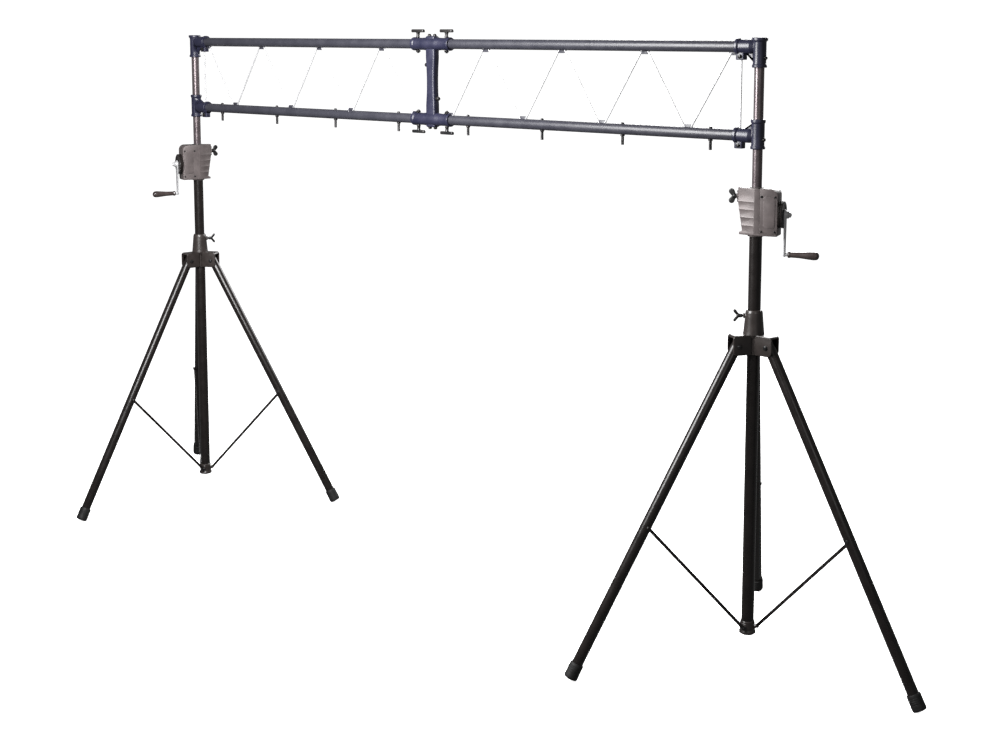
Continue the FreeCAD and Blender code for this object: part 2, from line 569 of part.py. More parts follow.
def winch_case():
    cover_face = -WINCH_HALF_DEPTH + COVER_THICKNESS
    cavity = block((CAVITY_INNER, CAVITY_OUTER), (-WINCH_HALF_DEPTH, WINCH_HALF_DEPTH - CASE_WALL),
                   (CAVITY_FLOOR, CAVITY_TOP))
    recess = block((CAVITY_INNER - COVER_INSET, WINCH_OUTER + OVERRUN),
                   (-WINCH_HALF_DEPTH - OVERRUN, cover_face), (COVER_FOOT, WINCH_HEIGHT + OVERRUN))
    rise, drop, middle, radius = cable_saddle_place()
    side_room = 2 * CABLE_DIAMETER
    pocket = block((drop[0] - side_room, CAVITY_INNER + OVERRUN), (drop[1] - side_room, rise[1] + side_room),
                   (middle[2] - radius - side_room, CAVITY_TOP))
    shaft_hole = cylinder(CRANK_SHAFT_DIAMETER / 2 + PIN_GAP, WINCH_OUTER,
                          (CAVITY_OUTER - 2 * BEARING_DEPTH, 0, CRANK_RISE), (1, 0, 0))
    lock_hole = cylinder(MAST_LOCK_DIAMETER / 2 + PIN_GAP, WINCH_NOSE, (0, 0, MAST_LOCK_RISE), (-1, 0, 0))
    bush_hole = cylinder(MAST_RADIUS + SLIDE_GAP + BUSH_WALL + SEAT_GAP, BUSH_HEIGHT,
                         (0, 0, WINCH_HEIGHT - BUSH_HEIGHT))
    case = winch_outline()
    case = case.cut([cavity, recess, pocket, bush_hole, lock_hole,
                     cylinder(COLUMN_RADIUS + SEAT_GAP, COLUMN_SOCKET, (0, 0, 0)),
                     cylinder(COLUMN_BORE, WINCH_HEIGHT, (0, 0, 0))])
    bearing = cylinder(CRANK_SHAFT_DIAMETER, BEARING_DEPTH + OVERRUN,
                       (CAVITY_OUTER - BEARING_DEPTH, 0, CRANK_RISE), (1, 0, 0))
    axle_start = (DRUM_START, 0, DRUM_RISE)
    axle = cylinder(AXLE_RADIUS, CAVITY_OUTER - axle_start[0] + OVERRUN, axle_start, (1, 0, 0))
    across = (-(rise[1] - drop[1]) / (2 * radius), (rise[0] - drop[0]) / (2 * radius))
    back = SADDLE_BACK
    saddle_start = (middle[0] - back * across[0], middle[1] - back * across[1], middle[2])
    saddle = cylinder(radius - CABLE_DIAMETER / 2 - SADDLE_GAP, SADDLE_LENGTH, saddle_start,
                      (across[0], across[1], 0))
    return at_winch(case.fuse([bearing, axle, saddle]).cut(shaft_hole).removeSplitter())


def winch_cover():
    """The plate that closes the gear box, with its four screws and the two screws in the nose."""
    face = -WINCH_HALF_DEPTH
    plate = block((CAVITY_INNER - COVER_INSET + SEAT_GAP, WINCH_OUTER), (face, face + COVER_THICKNESS),
                  (COVER_FOOT + SEAT_GAP, WINCH_HEIGHT))
    corner = block((WINCH_OUTER - WINCH_ROUNDING, WINCH_OUTER), (face, -face),
                   (WINCH_HEIGHT - WINCH_ROUNDING, WINCH_HEIGHT))
    round_start = (WINCH_OUTER - WINCH_ROUNDING, face, WINCH_HEIGHT - WINCH_ROUNDING)
    plate = plate.cut(corner.cut(cylinder(WINCH_ROUNDING, -2 * face, round_start, (0, 1, 0))))
    screws = []
    for x in (CAVITY_INNER + COVER_SCREW_RADIUS / 2, WINCH_OUTER - 2 * COVER_SCREW_RADIUS):
        for z in (2 * COVER_FOOT, WINCH_HEIGHT - WINCH_ROUNDING - COVER_SCREW_RADIUS):
            screws.append(cylinder(COVER_SCREW_RADIUS, COVER_SCREW_RADIUS / 2, (x, face, z), (0, -1, 0)))
    for z in (MAST_LOCK_RISE - NOSE_SCREW_SPREAD, MAST_LOCK_RISE + NOSE_SCREW_SPREAD):
        screws.append(hexagon(NOSE_SCREW_FLATS, NOSE_SCREW_HEIGHT, (-WINCH_NOSE, 0, z), (-1, 0, 0)))
    return at_winch(group(plate, *screws))


def mast_bush():
    """The nylon ring in the top of the case that guides the mast."""
    inner = MAST_RADIUS + SLIDE_GAP
    outer = inner + BUSH_WALL
    ring = tube(outer, inner, BUSH_HEIGHT, (0, 0, WINCH_HEIGHT - BUSH_HEIGHT))
    lip = tube(outer + BUSH_LIP_REACH, inner, BUSH_LIP, (0, 0, WINCH_HEIGHT))
    return at_winch(ring.fuse(lip).removeSplitter())


def gear(teeth, width, start_x, height, phase):
    """A spur gear along +X with straight-sided teeth, thinned for backlash."""
    pitch = GEAR_MODULE * teeth / 2
    root = pitch - DEDENDUM * GEAR_MODULE
    tip = pitch + ADDENDUM * GEAR_MODULE
    half_root = math.pi / teeth / 2 * TOOTH_ROOT_WIDTH
    half_tip = math.pi / teeth / 2 * TOOTH_TIP_WIDTH
    slack = GEAR_BACKLASH / pitch
    points = []
    for tooth in range(teeth):
        centre = 2 * math.pi * (tooth + phase) / teeth
        for radius, offset in ((root, -half_root), (tip, -half_tip + slack / 2),
                               (tip, half_tip - slack / 2), (root, half_root)):
            angle = centre + offset
            points.append((start_x, radius * math.cos(angle), height + radius * math.sin(angle)))
    return extruded(points, (width, 0, 0))


def crank_shaft():
    """The crank's shaft with its pinion and end nut, and the brake disc on it."""
    inner_end = GEAR_START - SHAFT_TAIL
    outer_end = ARM_START + ARM_BOSS_LENGTH + CLEAR
    radius = CRANK_SHAFT_DIAMETER / 2
    shaft = cylinder(radius, outer_end - inner_end, (inner_end, 0, CRANK_RISE), (1, 0, 0))
    # A tooth of the drum gear points straight down at the pinion, so the pinion shows it a gap.
    pinion = gear(PINION_TEETH, GEAR_WIDTH, GEAR_START, CRANK_RISE, PINION_TEETH / 4 + 0.5)
    shaft = shaft.fuse(pinion)
    shaft = shaft.fuse(hexagon(CRANK_NUT_FLATS, CRANK_NUT_HEIGHT, (outer_end, 0, CRANK_RISE), (1, 0, 0)))
    disc = cylinder(BRAKE_DIAMETER / 2, BRAKE_THICKNESS, (BRAKE_START, 0, CRANK_RISE), (1, 0, 0))
    disc = disc.cut(cylinder(radius + SEAT_GAP, WINCH_OUTER * 2, (0, 0, CRANK_RISE), (1, 0, 0)))
    return at_winch(group(shaft.removeSplitter(), disc))


def crank_arm():
    """The flat crank arm hanging from the shaft, with the spindle for its grip."""
    plate = link_plate((0, 0), ARM_HEAD_RADIUS, (0, -CRANK_RADIUS), ARM_TIP_RADIUS, ARM_THICKNESS)
    plate = rotated(plate, -90.0)
    plate = moved(plate, ARM_START, 0, CRANK_RISE)
    boss = cylinder(ARM_BOSS_RADIUS, ARM_BOSS_LENGTH, (ARM_START, 0, CRANK_RISE), (1, 0, 0))
    grip_height = CRANK_RISE - CRANK_RADIUS
    spindle_end = GRIP_START + GRIP_LENGTH - GRIP_END_WALL - CLEAR
    spindle = cylinder(SPINDLE_DIAMETER / 2, spindle_end - ARM_START, (ARM_START, 0, grip_height),
                       (1, 0, 0))
    collar = cylinder(SPINDLE_COLLAR_RADIUS, GRIP_STANDOFF - CLEAR, (SPINDLE_START, 0, grip_height),
                      (1, 0, 0))
    arm = plate.fuse([boss, spindle, collar])
    shaft_hole = cylinder(CRANK_SHAFT_DIAMETER / 2 + SEAT_GAP, 2 * ARM_BOSS_LENGTH,
                          (ARM_START - CLEAR, 0, CRANK_RISE), (1, 0, 0))
    return at_winch(arm.cut(shaft_hole).removeSplitter())


def crank_grip():
    """The waisted grip that turns on the spindle."""
    bore = SPINDLE_DIAMETER / 2 + SPINDLE_GAP
    bore_end = GRIP_LENGTH - GRIP_END_WALL
    outline = [(bore, 0)] + [(radius, share * GRIP_LENGTH) for radius, share in GRIP_SHAPE]
    outline += [(0, GRIP_LENGTH), (0, bore_end), (bore, bore_end)]
    grip = rotated(turned_about_z(outline), 90.0, (0, 1, 0))
    return at_winch(moved(grip, GRIP_START, 0, CRANK_RISE - CRANK_RADIUS))


def cable_drum():
    """The drum and its gear on their axle, with the wound cable."""
    start = DRUM_START
    bore = cylinder(AXLE_RADIUS + PIN_GAP, 2 * WINCH_OUTER, (0, 0, DRUM_RISE), (1, 0, 0))
    core = cylinder(DRUM_RADIUS, GEAR_START - start, (start, 0, DRUM_RISE), (1, 0, 0))
    for x in (start, GEAR_START - DRUM_FLANGE):
        core = core.fuse(cylinder(DRUM_FLANGE_RADIUS, DRUM_FLANGE, (x, 0, DRUM_RISE), (1, 0, 0)))
    drum = core.fuse(gear(DRUM_TEETH, GEAR_WIDTH, GEAR_START, DRUM_RISE, -DRUM_TEETH / 4))
    return at_winch(drum.cut(bore).removeSplitter())


def lift_cable():
    """The cable: up from the drum, over the saddle and down beside the mast to its foot."""
    rise, drop, middle, radius = cable_saddle_place()
    top = WINCH_BOTTOM + middle[2]
    drum_side = (rise[0], rise[1], WINCH_BOTTOM + DRUM_RISE)
    end = (drop[0], drop[1], MAST_BOTTOM + MAST_RING + CABLE_GAP)
    lead = Part.LineSegment(FreeCAD.Vector(*drum_side), FreeCAD.Vector(rise[0], rise[1], top))
    over = Part.Arc(FreeCAD.Vector(rise[0], rise[1], top),
                    FreeCAD.Vector(middle[0], middle[1], top + radius),
                    FreeCAD.Vector(drop[0], drop[1], top))
    fall = Part.LineSegment(FreeCAD.Vector(drop[0], drop[1], top), FreeCAD.Vector(*end))
    path = Part.Wire([lead.toShape(), over.toShape(), fall.toShape()])
    circle = Part.Circle(FreeCAD.Vector(*drum_side), UP, CABLE_DIAMETER / 2)
    profile = Part.Wire([circle.toShape()])
    return path.makePipeShell([profile], True, False)


def mast_lock():
    """The butterfly knob along -X whose screw clamps the mast."""
    start = MAST_RADIUS + SLIDE_GAP
    height = MAST_LOCK_RISE
    neck = WINCH_NOSE + KNOB_GAP
    screw = cylinder(MAST_LOCK_DIAMETER / 2, neck - start, (-start, 0, height), (-1, 0, 0))
    screw = screw.fuse(cylinder(KNOB_HUB_RADIUS, KNOB_HUB_LENGTH, (-neck, 0, height), (-1, 0, 0)))
    root = (-neck - KNOB_ROOT, height)
    for sign in (-1, 1):
        tip = (root[0] - KNOB_LOBE_REACH, height + sign * KNOB_LOBE_RISE)
        wing = link_plate(root, KNOB_ROOT, tip, KNOB_LOBE_RADIUS, KNOB_THICKNESS)
        screw = screw.fuse(moved(wing, y=-KNOB_THICKNESS / 2))
    return at_winch(screw.removeSplitter())


# ---- Truss --------------------------------------------------------------------------------------
def on_truss(shape):
    return moved(shape, TRUSS_X, TRUSS_Y)


def truss_node_x(index):
    return FIRST_NODE + index * NODE_PITCH


def hanger_positions():
    return [truss_node_x(index) + NODE_PITCH / 2 for index in range(0, BAYS, 2)]


def mast(side):
    """A mast tube with the ring welded to its foot, which the cable lifts."""
    length = FRAME_TOP - CAP_HEIGHT / 2 - MAST_BOTTOM
    ring = cylinder(COLUMN_BORE - SLIDE_GAP, MAST_RING, (0, 0, MAST_BOTTOM))
    body = cylinder(MAST_RADIUS, length, (0, 0, MAST_BOTTOM)).fuse(ring)
    body = body.cut(cylinder(MAST_RADIUS - MAST_WALL, length, (0, 0, MAST_BOTTOM)))
    return on_truss(moved(body.removeSplitter(), side * HALF_SPAN))


def chord(side, height, upper):
    """A chord tube, from beside the truss's centre into its end bracket."""
    length = HALF_SPAN - SOCKET_REACH + CHORD_IN_SOCKET - CHORD_STOP
    body = tube(CHORD_RADIUS, CHORD_RADIUS - CHORD_WALL, length, (CHORD_STOP, 0, height), (1, 0, 0))
    holes = [(HANDLE_BOLT_REACH, HANDLE_BOLT_DIAMETER / 2 + PIN_GAP)]
    if not upper:
        holes += [(x, HANGER_DIAMETER / 2 + SEAT_GAP) for x in hanger_positions()]
    for x, radius in holes:
        hole_start = (x, 0, height - CHORD_RADIUS - OVERRUN)
        body = body.cut(cylinder(radius, CHORD_DIAMETER + 2 * OVERRUN, hole_start))
    return on_truss(body if side > 0 else rotated(body, 180.0))


def lacing():
    """The zigzag rods and end rods of both sections, each a rod of its own."""
    rods = []
    heights = (LOWER_CHORD_HEIGHT, UPPER_CHORD_HEIGHT)
    chords = [cylinder(CHORD_RADIUS + SEAT_GAP, SPAN, (-HALF_SPAN, 0, z), (1, 0, 0)) for z in heights]
    end_x = HALF_SPAN - END_ROD_INSET
    end_low = LOWER_CHORD_HEIGHT + SOCKET_RADIUS
    end_high = UPPER_CHORD_HEIGHT - CLAMP_LUG_DROP
    for side in (1, -1):
        for bay in range(BAYS):
            first, second = heights[bay % 2], heights[1 - bay % 2]
            ends = ((truss_node_x(bay) + ROD_SPLAY, first), (truss_node_x(bay + 1) - ROD_SPLAY, second))
            rods.append(lacing_rod(*ends, side).cut(chords))
        rods.append(lacing_rod((end_x, end_low + SEAT_GAP), (end_x, end_high - SEAT_GAP), side))
    return on_truss(group(*rods))


def lacing_rod(start, end, side):
    dx, dz = end[0] - start[0], end[1] - start[1]
    length = math.hypot(dx, dz)
    rod = cylinder(ROD_DIAMETER / 2, length, (start[0], 0, start[1]), (dx, 0, dz))
    return rod if side > 0 else rotated(rod, 180.0)


def end_bracket(height, sleeve_bottom, capped):
    """One clamp casting: a sleeve on the mast and a slit socket for the chord, facing -X."""
    top = sleeve_bottom + SLEEVE_HEIGHT
    rim_radius = SLEEVE_RADIUS + SLEEVE_RIM
    cap_radius = SLEEVE_RADIUS + CAP_OVERHANG if capped else rim_radius
    mouth = -SOCKET_REACH
    lug_bottom = height - CLAMP_LUG_DROP
    body = cylinder(SLEEVE_RADIUS, SLEEVE_HEIGHT, (0, 0, sleeve_bottom))
    body = body.fuse([cylinder(rim_radius, SLEEVE_RIM_HEIGHT, (0, 0, sleeve_bottom)),
                      cylinder(cap_radius, CAP_HEIGHT, (0, 0, top - CAP_HEIGHT)),
                      cylinder(SOCKET_RADIUS, SOCKET_REACH, (0, 0, height), (-1, 0, 0)),
                      cylinder(SOCKET_RADIUS + SOCKET_RIM, SOCKET_RING, (mouth, 0, height), (1, 0, 0)),
                      block((mouth, mouth + LUG_LENGTH), (-LUG_HALF_WIDTH, LUG_HALF_WIDTH),
                            (lug_bottom, height))])
    chord_start = SOCKET_REACH - CHORD_IN_SOCKET
    mast_height = SLEEVE_HEIGHT - (CAP_HEIGHT / 2 if capped else 0)
    bolt_x, bolt_height = mouth + CLAMP_BOLT_INSET, lug_bottom + CLAMP_BOLT_RISE
    bolt_radius = CLAMP_BOLT_DIAMETER / 2
    bolt_start = (bolt_x, -LUG_HALF_WIDTH, bolt_height)
    body = body.cut([cylinder(CHORD_RADIUS + SEAT_GAP, SOCKET_REACH, (-chord_start, 0, height), (-1, 0, 0)),
                     cylinder(MAST_RADIUS + SEAT_GAP, mast_height, (0, 0, sleeve_bottom)),
                     block((mouth - OVERRUN, -chord_start), (-CLAMP_SLIT / 2, CLAMP_SLIT / 2),
                           (lug_bottom - OVERRUN, height)),
                     cylinder(bolt_radius + SEAT_GAP, 2 * LUG_HALF_WIDTH, bolt_start, (0, 1, 0))])
    bolt = cylinder(bolt_radius, 2 * LUG_HALF_WIDTH, bolt_start, (0, 1, 0))
    far_end = (bolt_x, LUG_HALF_WIDTH, bolt_height)
    bolt = bolt.fuse([hexagon(BOLT_FLATS, CLAMP_HEAD_HEIGHT, far_end, (0, 1, 0)),
                      hexagon(BOLT_FLATS, CLAMP_HEAD_HEIGHT, bolt_start, (0, -1, 0))])
    screw_start = (SLEEVE_RADIUS - CLEAR, 0, sleeve_bottom + SET_SCREW_PLACE * SLEEVE_HEIGHT)
    screw = hexagon(SET_SCREW_FLATS, SET_SCREW_HEIGHT, screw_start, (1, 0, 0))
    screw = screw.cut(cylinder(SLEEVE_RADIUS, SLEEVE_HEIGHT, (0, 0, sleeve_bottom)))
    return [body.removeSplitter(), bolt, screw]


def end_brackets(side):
    pieces = end_bracket(UPPER_CHORD_HEIGHT, FRAME_TOP - SLEEVE_HEIGHT, True)
    pieces += end_bracket(LOWER_CHORD_HEIGHT, LOWER_SLEEVE_BOTTOM, False)
    shape = moved(group(*pieces), HALF_SPAN)
    return on_truss(shape if side > 0 else rotated(shape, 180.0))


def post_shape():
    """The casting between the two sections: a waisted post with a through sleeve at each chord."""
    bottom = LOWER_CHORD_HEIGHT - POST_OVERHANG
    top = UPPER_CHORD_HEIGHT + POST_OVERHANG
    middle = (bottom + top) / 2
    half = POST_WIDTH / 2
    waist = POST_WAIST / 2
    depth = POST_DEPTH / 2
    straight = POST_OVERHANG + POST_SHOULDER
    corners = [FreeCAD.Vector(side * half, -depth, z) for side, z in
               ((1, bottom + straight), (1, top - straight), (-1, top - straight), (-1, bottom + straight))]
    edges = [Part.Arc(corners[0], FreeCAD.Vector(waist, -depth, middle), corners[1]).toShape(),
             Part.makeLine(corners[1], corners[2]),
             Part.Arc(corners[2], FreeCAD.Vector(-waist, -depth, middle), corners[3]).toShape(),
             Part.makeLine(corners[3], corners[0])]
    post = Part.Face(Part.Wire(edges)).extrude(FreeCAD.Vector(0, POST_DEPTH, 0))
    post = post.fuse([block((-half, half), (-depth, depth), (bottom, bottom + straight)),
                      block((-half, half), (-depth, depth), (top - straight, top))])
    cuts = []
    for height in (LOWER_CHORD_HEIGHT, UPPER_CHORD_HEIGHT):
        sleeve_start = (-JUNCTION_REACH, 0, height)
        post = post.fuse(cylinder(SOCKET_RADIUS, 2 * JUNCTION_REACH, sleeve_start, (1, 0, 0)))
        cuts.append(cylinder(CHORD_RADIUS + SEAT_GAP, 2 * JUNCTION_REACH, sleeve_start, (1, 0, 0)))
        for side in (-1, 1):
            x = side * HANDLE_BOLT_REACH
            cuts.append(cylinder(HANDLE_BOLT_DIAMETER / 2 + PIN_GAP, 2 * POST_WIDTH,
                                 (x, 0, height - POST_WIDTH)))
    return post.removeSplitter().cut(cuts)


def junction_post():
    return on_truss(post_shape())


def junction_bolts():
    """The small round-headed bolts in the post: two above, two below and one in each side."""
    radius = POST_BOLT_RADIUS
    top, bottom = UPPER_CHORD_HEIGHT + POST_OVERHANG, LOWER_CHORD_HEIGHT - POST_OVERHANG
    pieces = []
    for x in (-POST_BOLT_SPREAD, POST_BOLT_SPREAD):
        pieces.append(cylinder(radius, POST_BOLT_HEIGHT, (x, 0, top)))
        pieces.append(cylinder(radius, POST_BOLT_HEIGHT, (x, 0, bottom), (0, 0, -1)))
    post = post_shape()
    length = POST_WIDTH / 2 + SIDE_BOLT_HEIGHT
    for side, height in ((-1, UPPER_CHORD_HEIGHT - SIDE_BOLT_DROP), (1, LOWER_CHORD_HEIGHT + SIDE_BOLT_DROP)):
        pieces.append(cylinder(radius, length, (0, 0, height), (side, 0, 0)).cut(post))
    return on_truss(group(*pieces))


def junction_handle(side, height, direction):
    """A T-handled bolt through a sleeve and its chord, with the handle outside the truss."""
    x = side * HANDLE_BOLT_REACH
    tip = HANDLE_BOLT_RISE
    bolt = cylinder(HANDLE_BOLT_DIAMETER / 2, 2 * tip, (0, 0, -tip))
    neck_start = SOCKET_RADIUS + CLEAR
    neck = cylinder(HANDLE_NECK_RADIUS, tip - neck_start, (0, 0, neck_start))
    half = HANDLE_LENGTH / 2
    bar = block((-half, half), (-HANDLE_DEPTH / 2, HANDLE_DEPTH / 2), (tip, tip + HANDLE_THICKNESS))
    bar = bar.makeFillet(HANDLE_ROUNDING, bar.Edges)
    nut = hexagon(HANDLE_NUT_FLATS, HANDLE_NUT_HEIGHT, (0, 0, -neck_start), (0, 0, -1))
    shape = bolt.fuse([neck, bar, nut]).removeSplitter()
    if direction < 0:
        shape = rotated(shape, 180.0, (1, 0, 0))
    return on_truss(moved(shape, x, 0, height))


def hanger_bolts():
    """The flanged studs through the lower chords that lamps hang from."""
    studs = []
    under = LOWER_CHORD_HEIGHT - CHORD_RADIUS
    bottom = under - HANGER_DROP
    top = LOWER_CHORD_HEIGHT + CHORD_RADIUS + HANGER_NUB
    chord_line = cylinder(CHORD_RADIUS + SEAT_GAP, SPAN, (-HALF_SPAN, 0, LOWER_CHORD_HEIGHT), (1, 0, 0))
    for side in (-1, 1):
        for x in hanger_positions():
            shank = cylinder(HANGER_DIAMETER / 2, top - bottom, (side * x, 0, bottom))
            flange_start = (side * x, 0, under - HANGER_FLANGE)
            flange = cylinder(HANGER_FLANGE_DIAMETER / 2, 2 * HANGER_FLANGE, flange_start)
            studs.append(shank.fuse(flange.cut(chord_line)).removeSplitter())
    return on_truss(group(*studs))


# ---- All nodes ----------------------------------------------------------------------------------
def stand_nodes(stand):
    nodes = {
        "column_tube": on_stand(stand, column_tube(), stand.rear_leg),
        "brace_hub": on_stand(stand, brace_hub(), stand.rear_leg),
        "leg_collar": on_stand(stand, leg_collar(stand.wing - stand.rear_leg), stand.rear_leg),
        "collar_wing_screw": on_stand(stand, collar_wing_screw(), stand.wing),
    }
    for number, angle in enumerate(stand.leg_angles(), start=1):
        nodes[f"leg_{number}"] = on_stand(stand, leg(), angle)
        nodes[f"foot_{number}"] = on_stand(stand, foot(), angle)
        nodes[f"brace_{number}"] = on_stand(stand, brace(), angle)
    makers = (winch_case, winch_cover, mast_bush, crank_shaft, crank_arm, crank_grip, cable_drum,
              lift_cable, mast_lock)
    for maker in makers:
        nodes[maker.__name__] = on_stand(stand, maker(), stand.crank)
    return {f"{stand.name}_{name}": shape for name, shape in nodes.items()}


def truss_nodes():
    nodes = {"lacing_rods": lacing(), "junction_post": junction_post(),
             "junction_bolts": junction_bolts(), "hanger_bolts": hanger_bolts()}
    for stand in STANDS:
        side, name = stand.side, stand.name
        nodes[f"{name}_mast"] = mast(side)
        nodes[f"{name}_end_brackets"] = end_brackets(side)
        nodes[f"{name}_upper_chord"] = chord(side, UPPER_CHORD_HEIGHT, True)
        nodes[f"{name}_lower_chord"] = chord(side, LOWER_CHORD_HEIGHT, False)
        nodes[f"{name}_upper_handle"] = junction_handle(side, UPPER_CHORD_HEIGHT, 1)
        nodes[f"{name}_lower_handle"] = junction_handle(side, LOWER_CHORD_HEIGHT, -1)
    return nodes


def main():
    os.makedirs("parts", exist_ok=True)
    nodes = truss_nodes()
    for stand in STANDS:
        nodes.update(stand_nodes(stand))
    for name, shape in nodes.items():
        if not shape.isValid():
            print("not valid:", name)
        shape.exportStep(f"parts/{name}.step")
    print(len(nodes), "nodes")
    print(f"fold travel {FOLD_TRAVEL:.2f} mm, leg {math.degrees(LEG_SPREAD):.3f} deg, "
          f"brace {math.degrees(BRACE_SPREAD - BRACE_FOLDED):.3f} deg")


main()
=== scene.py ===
"""Looks of a pair of crank-up lighting stands and the flat truss that they carry.

Lengths in the classes are millimetres, in the frame of the sub-assembly that they belong to; the
meshes are made in metres. A stand's own frame has its Z axis up the column.
"""
import json
import logging
import math
from dataclasses import dataclass, field
from enum import Enum
from typing import Any, Callable, Sequence

import bmesh
import bpy
import numpy as np
from mathutils import Matrix, Vector


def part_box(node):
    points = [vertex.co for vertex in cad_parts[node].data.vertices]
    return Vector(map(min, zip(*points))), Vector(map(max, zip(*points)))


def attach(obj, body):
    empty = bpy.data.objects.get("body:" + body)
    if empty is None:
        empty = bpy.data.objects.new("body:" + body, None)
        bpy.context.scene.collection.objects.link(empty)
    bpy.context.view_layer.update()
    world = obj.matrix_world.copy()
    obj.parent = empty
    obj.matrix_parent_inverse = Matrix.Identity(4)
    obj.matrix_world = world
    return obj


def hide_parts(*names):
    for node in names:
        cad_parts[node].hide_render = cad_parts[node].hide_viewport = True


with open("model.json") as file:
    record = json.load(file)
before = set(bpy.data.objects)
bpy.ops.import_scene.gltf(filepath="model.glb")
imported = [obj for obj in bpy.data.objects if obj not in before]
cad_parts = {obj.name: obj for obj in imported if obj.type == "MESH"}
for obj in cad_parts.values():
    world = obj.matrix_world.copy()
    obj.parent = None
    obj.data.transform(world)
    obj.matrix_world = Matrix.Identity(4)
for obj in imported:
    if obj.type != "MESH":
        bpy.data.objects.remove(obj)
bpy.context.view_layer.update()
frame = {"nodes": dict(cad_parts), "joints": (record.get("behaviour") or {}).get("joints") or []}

LOG = logging.getLogger("crank_stand")
MM = 0.001
WELD = 1e-7
CHORD_BORE = 20.02
MAST_BORE = 17.52
COLUMN_BORE = 22.52
BOLT_BORE = 4.02
TUBE_SEAT = 20.02
LEGS = (1, 2, 3)
LEG_STEP = 120.0
JOINTS = {joint["name"]: joint for joint in frame["joints"]}
Vec = Sequence[float]


# ---- Shader sheets ------------------------------------------------------------------------------
class Wire:
    """A shader socket that takes part in arithmetic; each operator adds one Math node."""

    def __init__(self, sheet: "Sheet", socket: bpy.types.NodeSocket) -> None:
        """Remember the sheet and the socket."""
        self.sheet = sheet
        self.socket = socket

    def _math(self, operation: str, first: Any, second: Any) -> "Wire":
        """Add a Math node that joins two values."""
        return self.sheet.add("ShaderNodeMath", {"operation": operation}, {0: first, 1: second})

    def __add__(self, other: Any) -> "Wire":
        """This value plus another."""
        return self._math("ADD", self, other)

    def __radd__(self, other: Any) -> "Wire":
        """Another value plus this one."""
        return self._math("ADD", other, self)

    def __sub__(self, other: Any) -> "Wire":
        """This value less another."""
        return self._math("SUBTRACT", self, other)

    def __mul__(self, other: Any) -> "Wire":
        """This value times another."""
        return self._math("MULTIPLY", self, other)

    def ramp(self, low: float, high: float) -> "Wire":
        """Run from 0 to 1 as this value goes from low to high."""
        values = {"Value": self, "From Min": low, "From Max": high}
        return self.sheet.add("ShaderNodeMapRange", {"clamp": True}, values)


class Sheet:
    """The node tree of one material."""

    def __init__(self, name: str) -> None:
        """Start a material with an empty node tree."""
        self.material = bpy.data.materials.new(name)
        self.material.use_nodes = True
        self.tree = self.material.node_tree
        self.tree.nodes.clear()

    def feed(self, socket: bpy.types.NodeSocket, value: Any) -> None:
        """Give a socket a number, a colour or a wire."""
        if isinstance(value, Wire):
            self.tree.links.new(value.socket, socket)
        else:
            socket.default_value = value

    def add(self, kind: str, settings: dict[str, Any] | None = None,
            values: dict[Any, Any] | None = None, out: Any = 0) -> Wire:
        """Add one node.

        Args:
            kind: The node's type.
            settings: Attributes of the node, set before its sockets.
            values: Numbers, colours or wires by socket name or number.
            out: The output socket to return.

        Returns:
            The chosen output as a wire.
        """
        node = self.tree.nodes.new(kind)
        for name, value in (settings or {}).items():
            setattr(node, name, value)
        for name, value in (values or {}).items():
            self.feed(node.inputs[name], value)
        return Wire(self, node.outputs[out]) if len(node.outputs) else Wire(self, node.inputs[0])

    def noise(self, size: float, detail: float = 2.0, stretch: Vec = (1.0, 1.0, 1.0)) -> Wire:
        """A noise pattern on Object coordinates.

        Args:
            size: Width of one blotch, in millimetres.
            detail: Number of finer layers.
            stretch: How many times longer the blotches are along X, Y and Z.

        Returns:
            A value about 0.5.
        """
        place = self.add("ShaderNodeTexCoord", out="Object")
        if tuple(stretch) != (1.0, 1.0, 1.0):
            scale = tuple(1.0 / part for part in stretch)
            place = self.add("ShaderNodeMapping", values={"Vector": place, "Scale": scale})
        values = {"Vector": place, "Scale": 1.0 / (size * MM), "Detail": detail, "Roughness": 0.55}
        return self.add("ShaderNodeTexNoise", values=values)

    def mix(self, share: Any, first: Any, second: Any) -> Wire:
        """Blend two colours by a share from 0 to 1."""
        node = self.tree.nodes.new("ShaderNodeMix")
        node.data_type = "RGBA"
        for number, value in ((0, share), (6, first), (7, second)):
            self.feed(node.inputs[number], value)
        return Wire(self, node.outputs[2])


def opaque(tint: Vec) -> tuple[float, ...]:
    """A linear colour with its alpha."""
    return (*tint, 1.0)


WHITE = opaque((1.0, 1.0, 1.0))
CLOUD_SIZE = 45.0
SPECK_SIZE = 6.0
COAT_GLOSS = 0.22
ROPE_STRAND = 3.0


class Grain(Enum):
    """How a finish's surface is broken up."""

    SPRAYED = "sprayed"
    CAST = "cast"
    DRAWN = "drawn"
    MOULDED = "moulded"
    STRANDED = "stranded"


